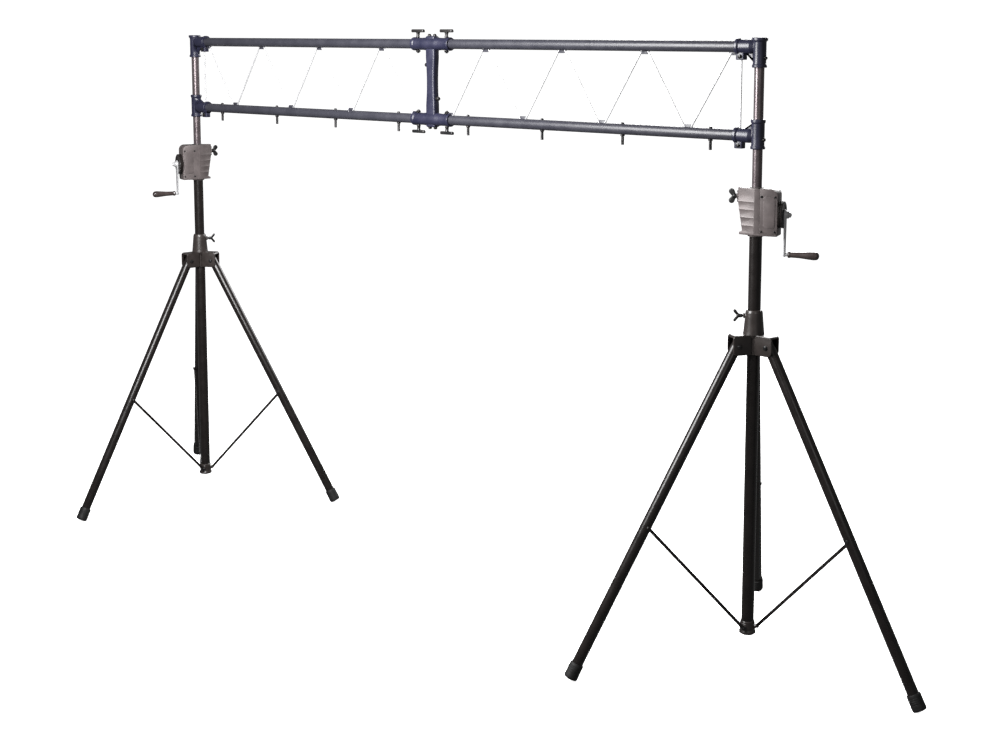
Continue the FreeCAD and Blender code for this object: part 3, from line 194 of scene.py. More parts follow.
@dataclass(frozen=True)
class Finish:
    """One finish of the stand: its colours, gloss and the relief of its surface.

    Blotches of the second colour cover the first, bare metal shows where the mesh's own edge
    attribute is high, and the relief comes from noise at the grain's size.
    """

    name: str
    base: Vec
    blotch: Vec
    gloss: float
    grain: Grain
    grain_size: float = 0.8
    relief: float = 0.02
    metallic: float = 0.0
    coat: float = 0.0
    shine: float = 0.4
    wear: float = 0.0
    bare: Vec = (0.35, 0.34, 0.33)
    along: Vec = (1.0, 1.0, 1.0)

    def surface_relief(self, sheet: Sheet) -> Wire:
        """The height pattern that the bump reads, from the grain."""
        fine = sheet.noise(self.grain_size, 3.0)
        if self.grain is Grain.CAST:
            pits = sheet.noise(self.grain_size * 5.0, 2.0).ramp(0.38, 0.62)
            return fine * 0.7 + pits * 0.6
        if self.grain is Grain.DRAWN:
            return sheet.noise(self.grain_size, 2.0, self.along) + fine * 0.2
        if self.grain is Grain.STRANDED:
            place = sheet.add("ShaderNodeTexCoord", out="Object")
            wave = {"Vector": place, "Scale": 1.0 / (ROPE_STRAND * MM), "Distortion": 0.0}
            settings = {"wave_type": "BANDS", "bands_direction": "DIAGONAL"}
            return sheet.add("ShaderNodeTexWave", settings, wave)
        return fine

    def build(self) -> bpy.types.Material:
        """Make the material."""
        sheet = Sheet(self.name)
        cloud = sheet.noise(CLOUD_SIZE, 4.0)
        speck = sheet.noise(SPECK_SIZE, 5.0)
        share = cloud.ramp(0.36, 0.68) * 0.7 + speck.ramp(0.55, 0.8) * 0.3
        paint = sheet.mix(share, opaque(self.base), opaque(self.blotch))
        edge = sheet.add("ShaderNodeAttribute", {"attribute_name": "edge"}, out="Fac")
        worn = (edge * self.wear * speck.ramp(0.42, 0.66)).ramp(0.2, 1.0)
        skin = sheet.mix(worn, paint, opaque(self.bare))
        rough = self.gloss + (cloud - 0.5) * 0.22 + (speck - 0.5) * 0.12
        metallic = self.metallic + worn * (1.0 - self.metallic) * 0.7
        bump = sheet.add("ShaderNodeBump",
                         values={"Height": self.surface_relief(sheet), "Distance": self.relief * MM,
                                 "Strength": 0.8})
        shader = sheet.add("ShaderNodeBsdfPrincipled",
                           values={"Base Color": skin, "Roughness": rough, "Metallic": metallic,
                                   "Normal": bump, "Coat Weight": self.coat,
                                   "Coat Roughness": COAT_GLOSS, "Specular IOR Level": self.shine})
        sheet.add("ShaderNodeOutputMaterial", values={"Surface": shader})
        return sheet.material


class Paints(Enum):
    """Every finish on the stands, by the record's slot name."""

    BLACK_PAINT = Finish("black_paint", (0.0058, 0.0046, 0.0043), (0.01, 0.0078, 0.0073), 0.28,
                         Grain.SPRAYED, 0.9, 0.01, shine=0.3, wear=0.25, bare=(0.05, 0.048, 0.046))
    MAST_PAINT = Finish("mast_paint", (0.085, 0.07, 0.074), (0.12, 0.1, 0.104), 0.28, Grain.DRAWN,
                        0.6, 0.008, metallic=0.6, along=(1.0, 1.0, 40.0))
    TRUSS_PAINT = Finish("truss_paint", (0.0175, 0.0175, 0.0235), (0.026, 0.0258, 0.033), 0.4,
                         Grain.SPRAYED, 0.9, 0.018, shine=0.35, wear=0.2, bare=(0.12, 0.12, 0.14))
    BRACKET_PAINT = Finish("bracket_paint", (0.0072, 0.0076, 0.0185), (0.0145, 0.0143, 0.03), 0.38,
                           Grain.CAST, 1.1, 0.06, shine=0.38, wear=0.3, bare=(0.1, 0.1, 0.13))
    WINCH_CASTING = Finish("winch_casting", (0.066, 0.055, 0.0545), (0.104, 0.087, 0.086), 0.45,
                           Grain.CAST, 1.2, 0.09, metallic=0.2, wear=0.5, bare=(0.28, 0.26, 0.255))
    COLLAR_CASTING = Finish("collar_casting", (0.016, 0.0128, 0.0118), (0.028, 0.0225, 0.021), 0.33,
                            Grain.CAST, 1.1, 0.05, wear=0.25, bare=(0.08, 0.074, 0.07))
    DARK_STEEL = Finish("dark_steel", (0.009, 0.009, 0.01), (0.02, 0.0185, 0.018), 0.3,
                        Grain.SPRAYED, 0.7, 0.012, metallic=0.35, wear=0.3,
                        bare=(0.12, 0.118, 0.115))
    BRIGHT_STEEL = Finish("bright_steel", (0.4, 0.4, 0.41), (0.3, 0.298, 0.3), 0.42, Grain.DRAWN,
                          0.5, 0.006, metallic=0.35, along=(1.0, 1.0, 12.0))
    WIRE_ROPE = Finish("wire_rope", (0.4, 0.4, 0.4), (0.25, 0.25, 0.25), 0.35, Grain.STRANDED, 1.0,
                       0.25, metallic=1.0)
    BLACK_PLASTIC = Finish("black_plastic", (0.004, 0.004, 0.004), (0.008, 0.0076, 0.0076), 0.38,
                           Grain.MOULDED, 0.6, 0.025, shine=0.4)
    GRIP_PLASTIC = Finish("grip_plastic", (0.022, 0.016, 0.0155), (0.045, 0.035, 0.033), 0.22,
                          Grain.MOULDED, 0.8, 0.01, coat=0.3)
    NYLON = Finish("nylon", (0.03, 0.029, 0.028), (0.05, 0.048, 0.045), 0.5, Grain.MOULDED, 0.7,
                   0.02)
    FOOT_RUBBER = Finish("foot_rubber", (0.004, 0.004, 0.004), (0.0085, 0.0083, 0.008), 0.6,
                         Grain.MOULDED, 0.5, 0.04, shine=0.3)


MATERIALS: dict[Paints, bpy.types.Material] = {}


def material_of(paint: Paints) -> bpy.types.Material:
    """The material of a finish, made at its first use."""
    if paint not in MATERIALS:
        MATERIALS[paint] = paint.value.build()
    return MATERIALS[paint]


# ---- Surfaces -----------------------------------------------------------------------------------
@dataclass
class Shell:
    """A closed skin: points in millimetres, four-cornered faces, and caps with more corners."""

    points: np.ndarray
    quads: np.ndarray
    caps: list[list[int]] = field(default_factory=list)

    def carried(self, place: np.ndarray) -> "Shell":
        """This shell moved by a 4 x 4 matrix."""
        return Shell(self.points @ place[:3, :3].T + place[:3, 3], self.quads, self.caps)


def stacked(rings: np.ndarray, looped: bool = False) -> Shell:
    """Skin a stack of closed rings.

    Args:
        rings: Points as (ring, place round the ring, xyz).
        looped: Join the last ring to the first, as on a hollow tube, instead of capping both.

    Returns:
        The closed skin.
    """
    rows, count = rings.shape[:2]
    grid = np.arange(rows * count).reshape(rows, count)
    lower = grid if looped else grid[:-1]
    upper = np.roll(grid, -1, axis=0) if looped else grid[1:]
    quads = np.stack([lower, np.roll(lower, -1, 1), np.roll(upper, -1, 1), upper], -1)
    caps = [] if looped else [grid[0][::-1].tolist(), grid[-1].tolist()]
    return Shell(rings.reshape(-1, 3), quads.reshape(-1, 4), caps)


def rounded(corners: Sequence[Vec], radius: float | Sequence[float], steps: int = 4) -> np.ndarray:
    """Replace each corner of an outline by an arc that touches both of its sides.

    With u and v the unit vectors to the two neighbours and h half the angle between them, the arc's
    centre lies on the bisector at radius / sin(h), and no arc takes over 0.48 of a side.

    Args:
        corners: The outline's corners, in order.
        radius: One radius, or one for each corner.
        steps: Sides of each arc.

    Returns:
        The outline's points, (n, 2).
    """
    points = np.asarray(corners, float)
    before, after = np.roll(points, 1, 0) - points, np.roll(points, -1, 0) - points
    reach = 0.48 * np.minimum(np.linalg.norm(before, axis=1), np.linalg.norm(after, axis=1))
    before /= np.linalg.norm(before, axis=1)[:, None]
    after /= np.linalg.norm(after, axis=1)[:, None]
    half = np.arccos(np.clip((before * after).sum(1), -1.0, 1.0)) / 2
    radii = np.minimum(np.broadcast_to(np.asarray(radius, float), half.shape), reach * np.tan(half))
    bisector = before + after
    bisector /= np.maximum(np.linalg.norm(bisector, axis=1), 1e-9)[:, None]
    centres = points + bisector * (radii / np.sin(half))[:, None]
    turn = np.linspace(-1.0, 1.0, steps + 1)[None, :] * (math.pi / 2 - half)[:, None]
    side = np.sign(bisector[:, 0] * after[:, 1] - bisector[:, 1] * after[:, 0])[:, None]
    away = np.arctan2(-bisector[:, 1], -bisector[:, 0])[:, None] - turn * side
    arcs = centres[:, None, :] + radii[:, None, None] * np.stack([np.cos(away), np.sin(away)], -1)
    return arcs.reshape(-1, 2)


def inset(outline: np.ndarray, distance: float) -> np.ndarray:
    """Move every point of a counter-clockwise outline inwards, square to its neighbours' chord."""
    along = np.roll(outline, -1, 0) - np.roll(outline, 1, 0)
    along /= np.maximum(np.linalg.norm(along, axis=1), 1e-9)[:, None]
    return outline + distance * np.stack([-along[:, 1], along[:, 0]], -1)


def prism(outline: np.ndarray, low: float, high: float, bevel: float, steps: int = 3) -> Shell:
    """Carry an outline from one height to another, with both rims rounded.

    At angle t round a rim of radius b, the outline lies b(1 - sin t) inside and b(1 - cos t) in.

    Args:
        outline: Points in the XY plane, in either order.
        low: Lower height.
        high: Upper height.
        bevel: Radius of the rims.
        steps: Sides of each rim's arc.

    Returns:
        The closed skin.
    """
    following = np.roll(outline, -1, 0)
    area = (outline[:, 0] * following[:, 1] - following[:, 0] * outline[:, 1]).sum()
    ring = outline if area > 0 else outline[::-1]
    turn = np.linspace(0.0, math.pi / 2, steps + 1)
    depth, rise = bevel * (1 - np.sin(turn)), bevel * (1 - np.cos(turn))
    levels = [(d, low + r) for d, r in zip(depth, rise)]
    levels += [(d, high - r) for d, r in zip(depth[::-1], rise[::-1])]
    rings = [np.column_stack([inset(ring, d), np.full(len(ring), z)]) for d, z in levels]
    return stacked(np.array(rings))


def turned(profile: Sequence[Vec], sides: int = 48, looped: bool = False,
           ripple: Callable[[np.ndarray, np.ndarray], np.ndarray] | None = None) -> Shell:
    """Turn a profile about the Z axis.

    Args:
        profile: (radius, height) points; radius 0 at an end closes it in a pole.
        sides: Sides of the circle.
        looped: Close the profile on itself, as a ring's.
        ripple: A height added to the radius, from the angle and the height.

    Returns:
        The closed skin.
    """
    line = np.asarray(profile, float)
    angle = np.linspace(0.0, 2 * math.pi, sides, endpoint=False)[None, :]
    radius = np.repeat(line[:, :1], sides, 1)
    height = np.repeat(line[:, 1:2], sides, 1)
    if ripple is not None:
        radius = radius + ripple(angle, height) * (radius > 0)
    return stacked(np.stack([radius * np.cos(angle), radius * np.sin(angle), height], -1), looped)


def smooth_profile(corners: Sequence[Vec], radius: Sequence[float], steps: int = 4) -> np.ndarray:
    """A turned piece's profile with its corners rounded; its two ends stay."""
    count = len(corners)
    radii = np.broadcast_to(np.asarray(radius, float), (count,))
    arcs = rounded(corners, radii, steps).reshape(count, steps + 1, 2)
    ends = np.asarray(corners, float)
    return np.vstack([ends[:1], arcs[1:-1].reshape(-1, 2), ends[-1:]])


def spun(corners: Sequence[Vec], radius: Sequence[float], sides: int = 48, steps: int = 4) -> Shell:
    """Turn an open profile with rounded corners about the Z axis."""
    return turned(smooth_profile(corners, radius, steps), sides)


def pin(radius: float, low: float, high: float, sides: int = 24) -> Shell:
    """A plain cylinder along Z."""
    return turned([(0, low), (radius, low), (radius, high), (0, high)], sides)


def bore(radius: float, low: float, high: float, place: np.ndarray | None = None) -> Shell:
    """A cylinder to cut with, along Z or along a place's own Z axis."""
    shape = pin(radius, low, high, 40)
    return shape if place is None else shape.carried(place)


def ring_shell(outer: float, inner: float, low: float, high: float, rim: float = 1.0,
               sides: int = 48) -> Shell:
    """A hollow round tube with rounded rims."""
    corners = [(inner, low), (outer, low), (outer, high), (inner, high)]
    return turned(rounded(corners, [rim * 0.4, rim, rim, rim * 0.4], 3), sides, True)


def limb(path: np.ndarray, width: np.ndarray, depth: np.ndarray, side: Vec,
         sides: int = 20) -> Shell:
    """Carry an ellipse along a path.

    Args:
        path: Points of the middle line, (n, 3).
        width: Half width at each point, across the path and square to side.
        depth: Half width at each point along side.
        side: The direction that the depth is measured in.
        sides: Sides of the ellipse.

    Returns:
        The closed skin.
    """
    tangent = np.gradient(path, axis=0)
    tangent /= np.linalg.norm(tangent, axis=1)[:, None]
    second = np.broadcast_to(np.asarray(side, float), path.shape)
    first = np.cross(second, tangent)
    angle = np.linspace(0.0, 2 * math.pi, sides, endpoint=False)
    rings = (path[:, None, :] + np.cos(angle)[None, :, None] * (width[:, None] * first)[:, None, :]
             + np.sin(angle)[None, :, None] * (depth[:, None] * second)[:, None, :])
    return stacked(rings)


def domed(count: int, tip: float, foot: float = 1.0) -> np.ndarray:
    """Widths along a limb, as a share: foot at the start, then 1, rounded off at the tip."""
    along = np.linspace(0.0, 1.0, count)
    body = foot + (1.0 - foot) * np.sin(along * math.pi / 2)
    end = np.sqrt(np.clip(1 - np.clip((along - 1 + tip) / tip, 0, 1) ** 2, 0, 1))
    return body * end


# ---- Places -------------------------------------------------------------------------------------
def placed(origin: Vec = (0, 0, 0), along: Vec = (0, 0, 1), side: Vec = (1, 0, 0)) -> np.ndarray:
    """A matrix that stands a shell at origin, its Z axis along `along` and its X axis to `side`."""
    forward = np.asarray(along, float) / np.linalg.norm(along)
    right = np.asarray(side, float) - forward * np.dot(side, forward)
    right /= np.linalg.norm(right)
    place = np.eye(4)
    place[:3, 0], place[:3, 1], place[:3, 2], place[:3, 3] = right, np.cross(forward,
                                                                             right), forward, origin
    return place


def about_z(degrees: float, origin: Vec = (0, 0, 0)) -> np.ndarray:
    """A turn about the Z axis, then a move to origin."""
    turn = math.radians(degrees)
    return placed(origin, (0, 0, 1), (math.cos(turn), math.sin(turn), 0))


def along_x(x: float = 0.0, y: float = 0.0, z: float = 0.0, sign: int = 1) -> np.ndarray:
    """A place at a point, with the shell's axis along X, forwards or backwards."""
    return placed((x, y, z), (sign, 0, 0), (0, 1, 0))


def along_y(x: float = 0.0, y: float = 0.0, z: float = 0.0, sign: int = 1) -> np.ndarray:
    """A place at a point, with the shell's axis along Y, forwards or backwards, and +X kept."""
    return placed((x, y, z), (0, sign, 0), (1, 0, 0))


def upright(x: float = 0.0, y: float = 0.0, z: float = 0.0) -> np.ndarray:
    """A place for an outline drawn in the XZ plane; its height runs along -Y."""
    return along_y(x, y, z, -1)


# ---- Fasteners ----------------------------------------------------------------------------------
def hexagon(across: float, height: float, chamfer: float = 0.8) -> Shell:
    """A hexagonal head standing on Z = 0."""
    corner = across / math.sqrt(3)
    turn = np.radians(np.arange(6) * 60.0)
    outline = rounded(np.column_stack([corner * np.cos(turn), corner * np.sin(turn)]), 0.6, 2)
    return prism(outline, 0.0, height, chamfer, 2)


def round_head(radius: float, height: float, socket: float) -> Shell:
    """A domed screw head with a sunk socket, standing on Z = 0."""
    crown = [(0.0, height * 0.45), (socket, height * 0.45), (socket, height),
             (radius * 0.72, height * 0.92), (radius, height * 0.35), (radius, 0.0), (0.0, 0.0)]
    return spun(crown, [0, 0.2, 0.3, radius * 0.3, radius * 0.3, 0.2, 0], 24, 3)


def washer(radius: float, bore: float, height: float = 1.4) -> Shell:
    """A flat ring standing on Z = 0."""
    return ring_shell(radius, bore, 0.0, height, 0.4, 28)


# ---- Pieces -------------------------------------------------------------------------------------
SHARP = math.radians(38.0)
EDGE_REACH = 0.0014


def mark_edges(mesh: bpy.types.Mesh) -> None:
    """Store on each face how sharply it bends outwards, from 0 on flats to 1 on tight arcs.

    Along a side from p to q with normals m and n, the bend is (n - m) . (q - p) / |q - p|^2, the
    inverse of the radius there. A face keeps the largest bend of its sides.
    """
    points = np.zeros(len(mesh.vertices) * 3)
    mesh.vertices.foreach_get("co", points)
    points = points.reshape(-1, 3)
    start, total = np.zeros(len(mesh.polygons), int), np.zeros(len(mesh.polygons), int)
    mesh.polygons.foreach_get("loop_start", start)
    mesh.polygons.foreach_get("loop_total", total)
    corner = np.zeros(len(mesh.loops), int)
    mesh.loops.foreach_get("vertex_index", corner)
    normals = np.zeros(len(mesh.loops) * 3)
    mesh.corner_normals.foreach_get("vector", normals)
    normals = normals.reshape(-1, 3)
    following = np.arange(len(corner)) + 1
    following[start + total - 1] = start
    step = points[corner[following]] - points[corner]
    bend = ((normals[following] - normals) * step).sum(1) / np.maximum((step ** 2).sum(1), 1e-10)
    most = np.maximum.reduceat(bend, start)
    attribute = mesh.attributes.new("edge", "FLOAT", "FACE")
    attribute.data.foreach_set("value", np.clip(most * EDGE_REACH, 0, 1).astype(np.float32))


def raw_mesh(name: str, shells: Sequence[Shell]) -> bpy.types.Mesh:
    """Put closed shells into one mesh, in metres, welded and with their faces turned outwards."""
    starts = np.cumsum([0] + [len(shell.points) for shell in shells])
    points = np.vstack([shell.points for shell in shells]) * MM
    faces: list[list[int]] = []
    for shell, start in zip(shells, starts):
        faces += (shell.quads + start).tolist()
        faces += [[corner + int(start) for corner in cap] for cap in shell.caps]
    mesh = bpy.data.meshes.new(name)
    mesh.from_pydata(points.tolist(), [], faces)
    work = bmesh.new()
    work.from_mesh(mesh)
    bmesh.ops.remove_doubles(work, verts=work.verts, dist=WELD)
    bmesh.ops.dissolve_degenerate(work, edges=work.edges, dist=WELD)
    bmesh.ops.recalc_face_normals(work, faces=work.faces)
    work.to_mesh(mesh)
    work.free()
    return mesh


def carve(body: bpy.types.Object, cutter: bpy.types.Mesh) -> None:
    """Take the cutter's volume out of the body's mesh."""
    tool = bpy.data.objects.new("cutter", cutter)
    bpy.context.scene.collection.objects.link(tool)
    modifier = body.modifiers.new("carve", "BOOLEAN")
    modifier.operation, modifier.solver, modifier.object = "DIFFERENCE", "EXACT", tool
    modifier.use_self = True
    bpy.context.view_layer.update()
    seen = body.evaluated_get(bpy.context.evaluated_depsgraph_get())
    cut = bpy.data.meshes.new_from_object(seen)
    body.modifiers.clear()
    body.data = cut
    bpy.data.objects.remove(tool)


def piece(name: str, shells: Sequence[Shell], paint: Paints, body: str,
          place: np.ndarray | None = None, replaces: Sequence[str] = (),
          cutters: Sequence[Shell] = (), fittings: Sequence[Shell] = ()) -> bpy.types.Object:
    """Make one piece of the stand from closed shells.

    Args:
        name: The piece's name.
        shells: Its skins, in millimetres.
        paint: Its finish.
        body: The moving body that it belongs to.
        place: Where its own frame stands.
        replaces: The plain nodes that it stands for.
        cutters: Skins whose volume is taken out of the shells.
        fittings: Skins added after the cut.

    Returns:
        The finished object, at the origin.
    """
    made = bpy.data.objects.new(name, raw_mesh(name, shells))
    bpy.context.scene.collection.objects.link(made)
    if cutters:
        carve(made, raw_mesh("cutter", cutters))
    if fittings:
        work = bmesh.new()
        work.from_mesh(made.data)
        work.from_mesh(raw_mesh("fittings", fittings))
        work.to_mesh(made.data)
        work.free()
    mesh = made.data
    mesh.name = name
    if place is not None:
        moved = place.copy()
        moved[:3, 3] *= MM
        mesh.transform(Matrix(moved.tolist()))
    mesh.shade_smooth()
    mesh.set_sharp_from_angle(angle=SHARP)
    mark_edges(mesh)
    mesh.materials.clear()
    mesh.materials.append(material_of(paint))
    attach(made, body)
    if replaces:
        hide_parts(*replaces)
    LOG.info("%s: %d faces on %s", name, len(mesh.polygons), body)
    return made


def dress(node: str, paint: Paints) -> None:
    """Give a plain node that stays in view its finish."""
    shown = frame["nodes"][node]
    shown.data.materials.clear()
    shown.data.materials.append(material_of(paint))


# ---- Where the stands are -----------------------------------------------------------------------
def centre(node: str) -> tuple[float, float]:
    """The middle of a node's box seen from above, in millimetres."""
    low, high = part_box(node)
    return (low.x + high.x) / 2 / MM, (low.y + high.y) / 2 / MM


def bottom(node: str) -> float:
    """The lowest point of a node, in millimetres."""
    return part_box(node)[0].z / MM


@dataclass(frozen=True)
class Post:
    """One tripod's place: its axis, and where its sub-assemblies face."""

    name: str

    def node(self, part: str) -> str:
        """The full name of a node or body of this stand."""
        return f"{self.name}_{part}"

    def at(self, degrees: float, height: float = 0.0) -> np.ndarray:
        """A place on the column's axis at a height, with +X turned to a direction."""
        x, y = centre(self.node("column_tube"))
        return about_z(degrees, (x, y, height))

    def crank_heading(self) -> float:
        """The direction that the crank points in, in degrees."""
        axis = JOINTS[self.node("crank_turn")]["axis"]
        return math.degrees(math.atan2(axis[1], axis[0]))

    def wing_heading(self) -> float:
        """The direction of the collar's wing screw, in degrees."""
        axis = JOINTS[self.node("wing_screw_turn")]["axis"]
        return math.degrees(math.atan2(axis[1], axis[0]))

    def leg_heading(self, number: int) -> float:
        """The direction of a leg, which is square to its pivot."""
        axis = JOINTS[self.node(f"leg_{number}_swing")]["axis"]
        return math.degrees(math.atan2(-axis[0], axis[1]))

    def pivot(self, joint: str) -> tuple[float, float]:
        """A pivot's distance from the column's axis, square to its own axis, and its height."""
        x, y = centre(self.node("column_tube"))
        place, axis = (JOINTS[self.node(joint)][key] for key in ("pos_m", "axis"))
        along = (place[0] / MM - x) * axis[1] - (place[1] / MM - y) * axis[0]
        return abs(along) / math.hypot(axis[0], axis[1]), place[2] / MM


def link_outline(first: float, second: float, length: float, steps: int = 14) -> np.ndarray:
    """The outline round two discs, the first at the origin and the second at (length, 0).

    The straight sides touch both discs where their normals lean by acos((first - second) / length).
    """
    lean = math.acos((first - second) / length)
    far = np.linspace(-lean, lean, steps)
    near = np.linspace(lean, 2 * math.pi - lean, steps)
    return np.vstack([np.column_stack([length + second * np.cos(far), second * np.sin(far)]),
                      np.column_stack([first * np.cos(near), first * np.sin(near)])])


def arc_path(start: Vec, heading: float, bend: float, length: float, count: int = 14) -> np.ndarray:
    """A path in the XZ plane that starts along heading and turns evenly by bend, in degrees."""
    turn = np.radians(heading + bend * np.linspace(0, 1, count))
    step = length / (count - 1)
    x = start[0] + np.concatenate([[0], np.cumsum(np.cos(turn[:-1]) * step)])
    z = start[2] + np.concatenate([[0], np.cumsum(np.sin(turn[:-1]) * step)])
    return np.column_stack([x, np.full(count, float(start[1])), z])


def thread(pitch: float, depth: float) -> Callable[[np.ndarray, np.ndarray], np.ndarray]:
    """A screw thread's ripple: its phase is height / pitch - angle / full turn."""
    def ripple(angle: np.ndarray, height: np.ndarray) -> np.ndarray:
        """The thread's depth at an angle and a height."""
        phase = (height / pitch - angle / (2 * math.pi)) % 1.0
        return -depth * np.abs(2 * phase - 1)
    return ripple


def threaded_rod(radius: float, low: float, high: float, pitch: float = 1.75) -> Shell:
    """A threaded rod with a pointed end at each height."""
    rows = int((high - low) / pitch * 5)
    heights = np.linspace(low, high, rows)
    nose = np.minimum(np.minimum(heights - low, high - heights) * 0.7,
                      radius * 0.12) - radius * 0.12
    line = np.vstack([[0.0, low], np.column_stack([radius + nose, heights]), [0.0, high]])
    return turned(line, 28, ripple=thread(pitch, 0.5))


# ---- Winch --------------------------------------------------------------------------------------
@dataclass
class StandPart:
    """A sub-assembly of one stand, whose pieces, bodies and nodes carry the stand's name."""

    post: Post

    def make(self, name: str, shells: Sequence[Shell], paint: Paints, body: str,
             place: np.ndarray | None, replaces: str = "", cutters: Sequence[Shell] = (),
             fittings: Sequence[Shell] = ()) -> None:
        """Make one piece; the names are given without the stand's own."""
        piece(self.post.node(name), shells, paint, self.post.node(body), place,
              [self.post.node(replaces)] if replaces else (), cutters, fittings)


@dataclass
class Winch(StandPart):
    """The gear box with its tapered nose, its crank and the knob that locks the mast."""

    height: float = 166.0
    half_depth: float = 37.0
    outer: float = 82.0
    nose: float = 64.0
    nose_half: float = 12.0
    nose_foot: float = 46.0
    nose_straight: float = 50.0
    crown: float = 24.0
    cover: float = 4.0
    cover_inner: float = 20.0
    cover_foot: float = 8.0
    column_depth: float = 62.0
    bore: float = 20.5
    bush: float = 21.92
    bush_height: float = 12.0
    cavity: tuple[float, float] = (24.0, 76.0)
    lock_rise: float = 134.0
    crank_rise: float = 75.0
    crank_radius: float = 140.0
    drum_rise: float = 113.5
    brake_start: float = 83.0
    arm_start: float = 100.0
    grip_start: float = 115.0
    rib_heights: tuple[float, ...] = (34.0, 62.0, 90.0, 118.0)
    rim: float = 2.5
    lock_bore: float = 5.06
    shaft_bore: float = 6.06
    brake_radius: float = 47.5
    pinion_teeth: int = 12
    pinion_tip: float = 12.0
    pinion_root: float = 8.4
    cover_seam: float = 0.05
    nose_screw_gap: float = 17.0
    grip_length: float = 108.0

    def place(self) -> np.ndarray:
        """The case's own frame: +X to the crank, Z = 0 at its bottom."""
        return self.post.at(self.post.crank_heading(), bottom(self.post.node("winch_case")))

    def level(self, height: float) -> np.ndarray:
        """The case's outline at a height, with the nose's taper, its ribs and the rounded crown."""
        over = max(0.0, height - (self.height - self.crown))
        outer = self.outer - self.crown + math.sqrt(max(self.crown ** 2 - over ** 2, 1.0))
        rising = np.interp(height, [0, 8, 14, self.height - self.nose_straight, self.height],
                           [self.nose - 6, self.nose - 6, self.nose_foot, self.nose, self.nose])
        rib = max(max(0.0, 1.0 - abs(height - rib) / 3.0) for rib in self.rib_heights) * 1.6
        tip = self.half_depth - (self.half_depth - self.nose_half) * rising / self.nose
        front = self.half_depth - (self.cover if height > self.cover_foot else 0.0)
        corners = [(outer, -front), (outer, self.half_depth), (0.0, self.half_depth),
                   (-rising - rib, tip + rib), (-rising - rib, -tip - rib), (0.0, -self.half_depth),
                   (self.cover_inner, -self.half_depth), (self.cover_inner, -front - 0.01)]
        return rounded(corners, [2.5, 5.0, 3.0, 4.0, 4.0, 3.0, 0.8, 0.0], 3)

    def case_skin(self) -> Shell:
        """The case's outer skin, its levels closer together at ribs, steps and the crown."""
        levels = [0.0, 0.3, 1.0, 2.5, 5.0, 7.9, 8.1, 10.0, 14.0, 18.0]
        for rib in self.rib_heights:
            levels += [rib - 3.0, rib - 1.5, rib - 0.4, rib + 0.4, rib + 1.5, rib + 3.0]
        levels += list(self.height - self.crown * (1 - np.sin(np.linspace(0, 1, 9) * math.pi / 2)))
        levels += [self.height - self.rim, self.height - 1.0, self.height - 0.3]
        rings = []
        for z in sorted(set(np.round(levels, 3))):
            near = min(z, self.height - z, self.rim)
            depth = self.rim - math.sqrt(self.rim ** 2 - (self.rim - near) ** 2)
            ring = inset(self.level(z), depth)
            rings.append(np.column_stack([ring, np.full(len(ring), z)]))
        return stacked(np.array(rings))

    def cutters(self) -> list[Shell]:
        """What is bored and milled out of the case."""
        low, high = self.cavity
        box = rounded([(low, -self.half_depth - 3), (high, -self.half_depth - 3),
                       (high, self.half_depth - 6), (low, self.half_depth - 6)],
                      [0.5, 0.5, 4.0, 4.0])
        top = self.height - self.bush_height
        pocket = np.array([(6.5, 11.0), (low + 1, 11.0), (low + 1, 27.0), (6.5, 27.0)])
        return [prism(box, 22.0, top - 0.8, 0.5),
                turned([(0, -5), (COLUMN_BORE, -5), (COLUMN_BORE, self.column_depth),
                        (self.bore, self.column_depth), (self.bore, top), (self.bush, top),
                        (self.bush, self.height + 5), (0, self.height + 5)], 64),
                prism(pocket, 134.3, top - 1.7, 0.3),
                pin(self.shaft_bore, 60, 90, 28).carried(along_x(z=self.crank_rise)),
                pin(self.lock_bore, -80, 0, 28).carried(along_x(z=self.lock_rise))]

    def case(self) -> None:
        """The case with its nose ribs, its bearing, axle, the ring under it and the bosses for the lock
        and the crank.
        """
        bearing = ring_shell(12.0, self.shaft_bore, 68.5, 77.0, 0.8).carried(along_x(z=self.crank_rise))
        axle = turned([(0, 30.5), (5.4, 30.5), (6.0, 31.1), (6.0, 77.0), (0, 77.0)], 32)
        ring = ring_shell(29.0, 22.6, -5.0, 0.6, 1.6, 56)
        lock_at = along_x(-self.nose - 1.0, 0, self.lock_rise)
        boss = ring_shell(13.0, 5.4, -3.0, 1.0, 1.2, 32).carried(lock_at)
        crank_at = along_x(self.outer, 0, self.crank_rise)
        outer_boss = ring_shell(19.0, 6.3, -1.0, 0.7, 0.5, 40).carried(crank_at)
        self.make("cast_winch_case", [self.case_skin()], Paints.WINCH_CASTING, "base", self.place(),
                  "winch_case", self.cutters(),
                  [bearing, axle.carried(along_x(z=self.drum_rise)), ring, boss, outer_boss])

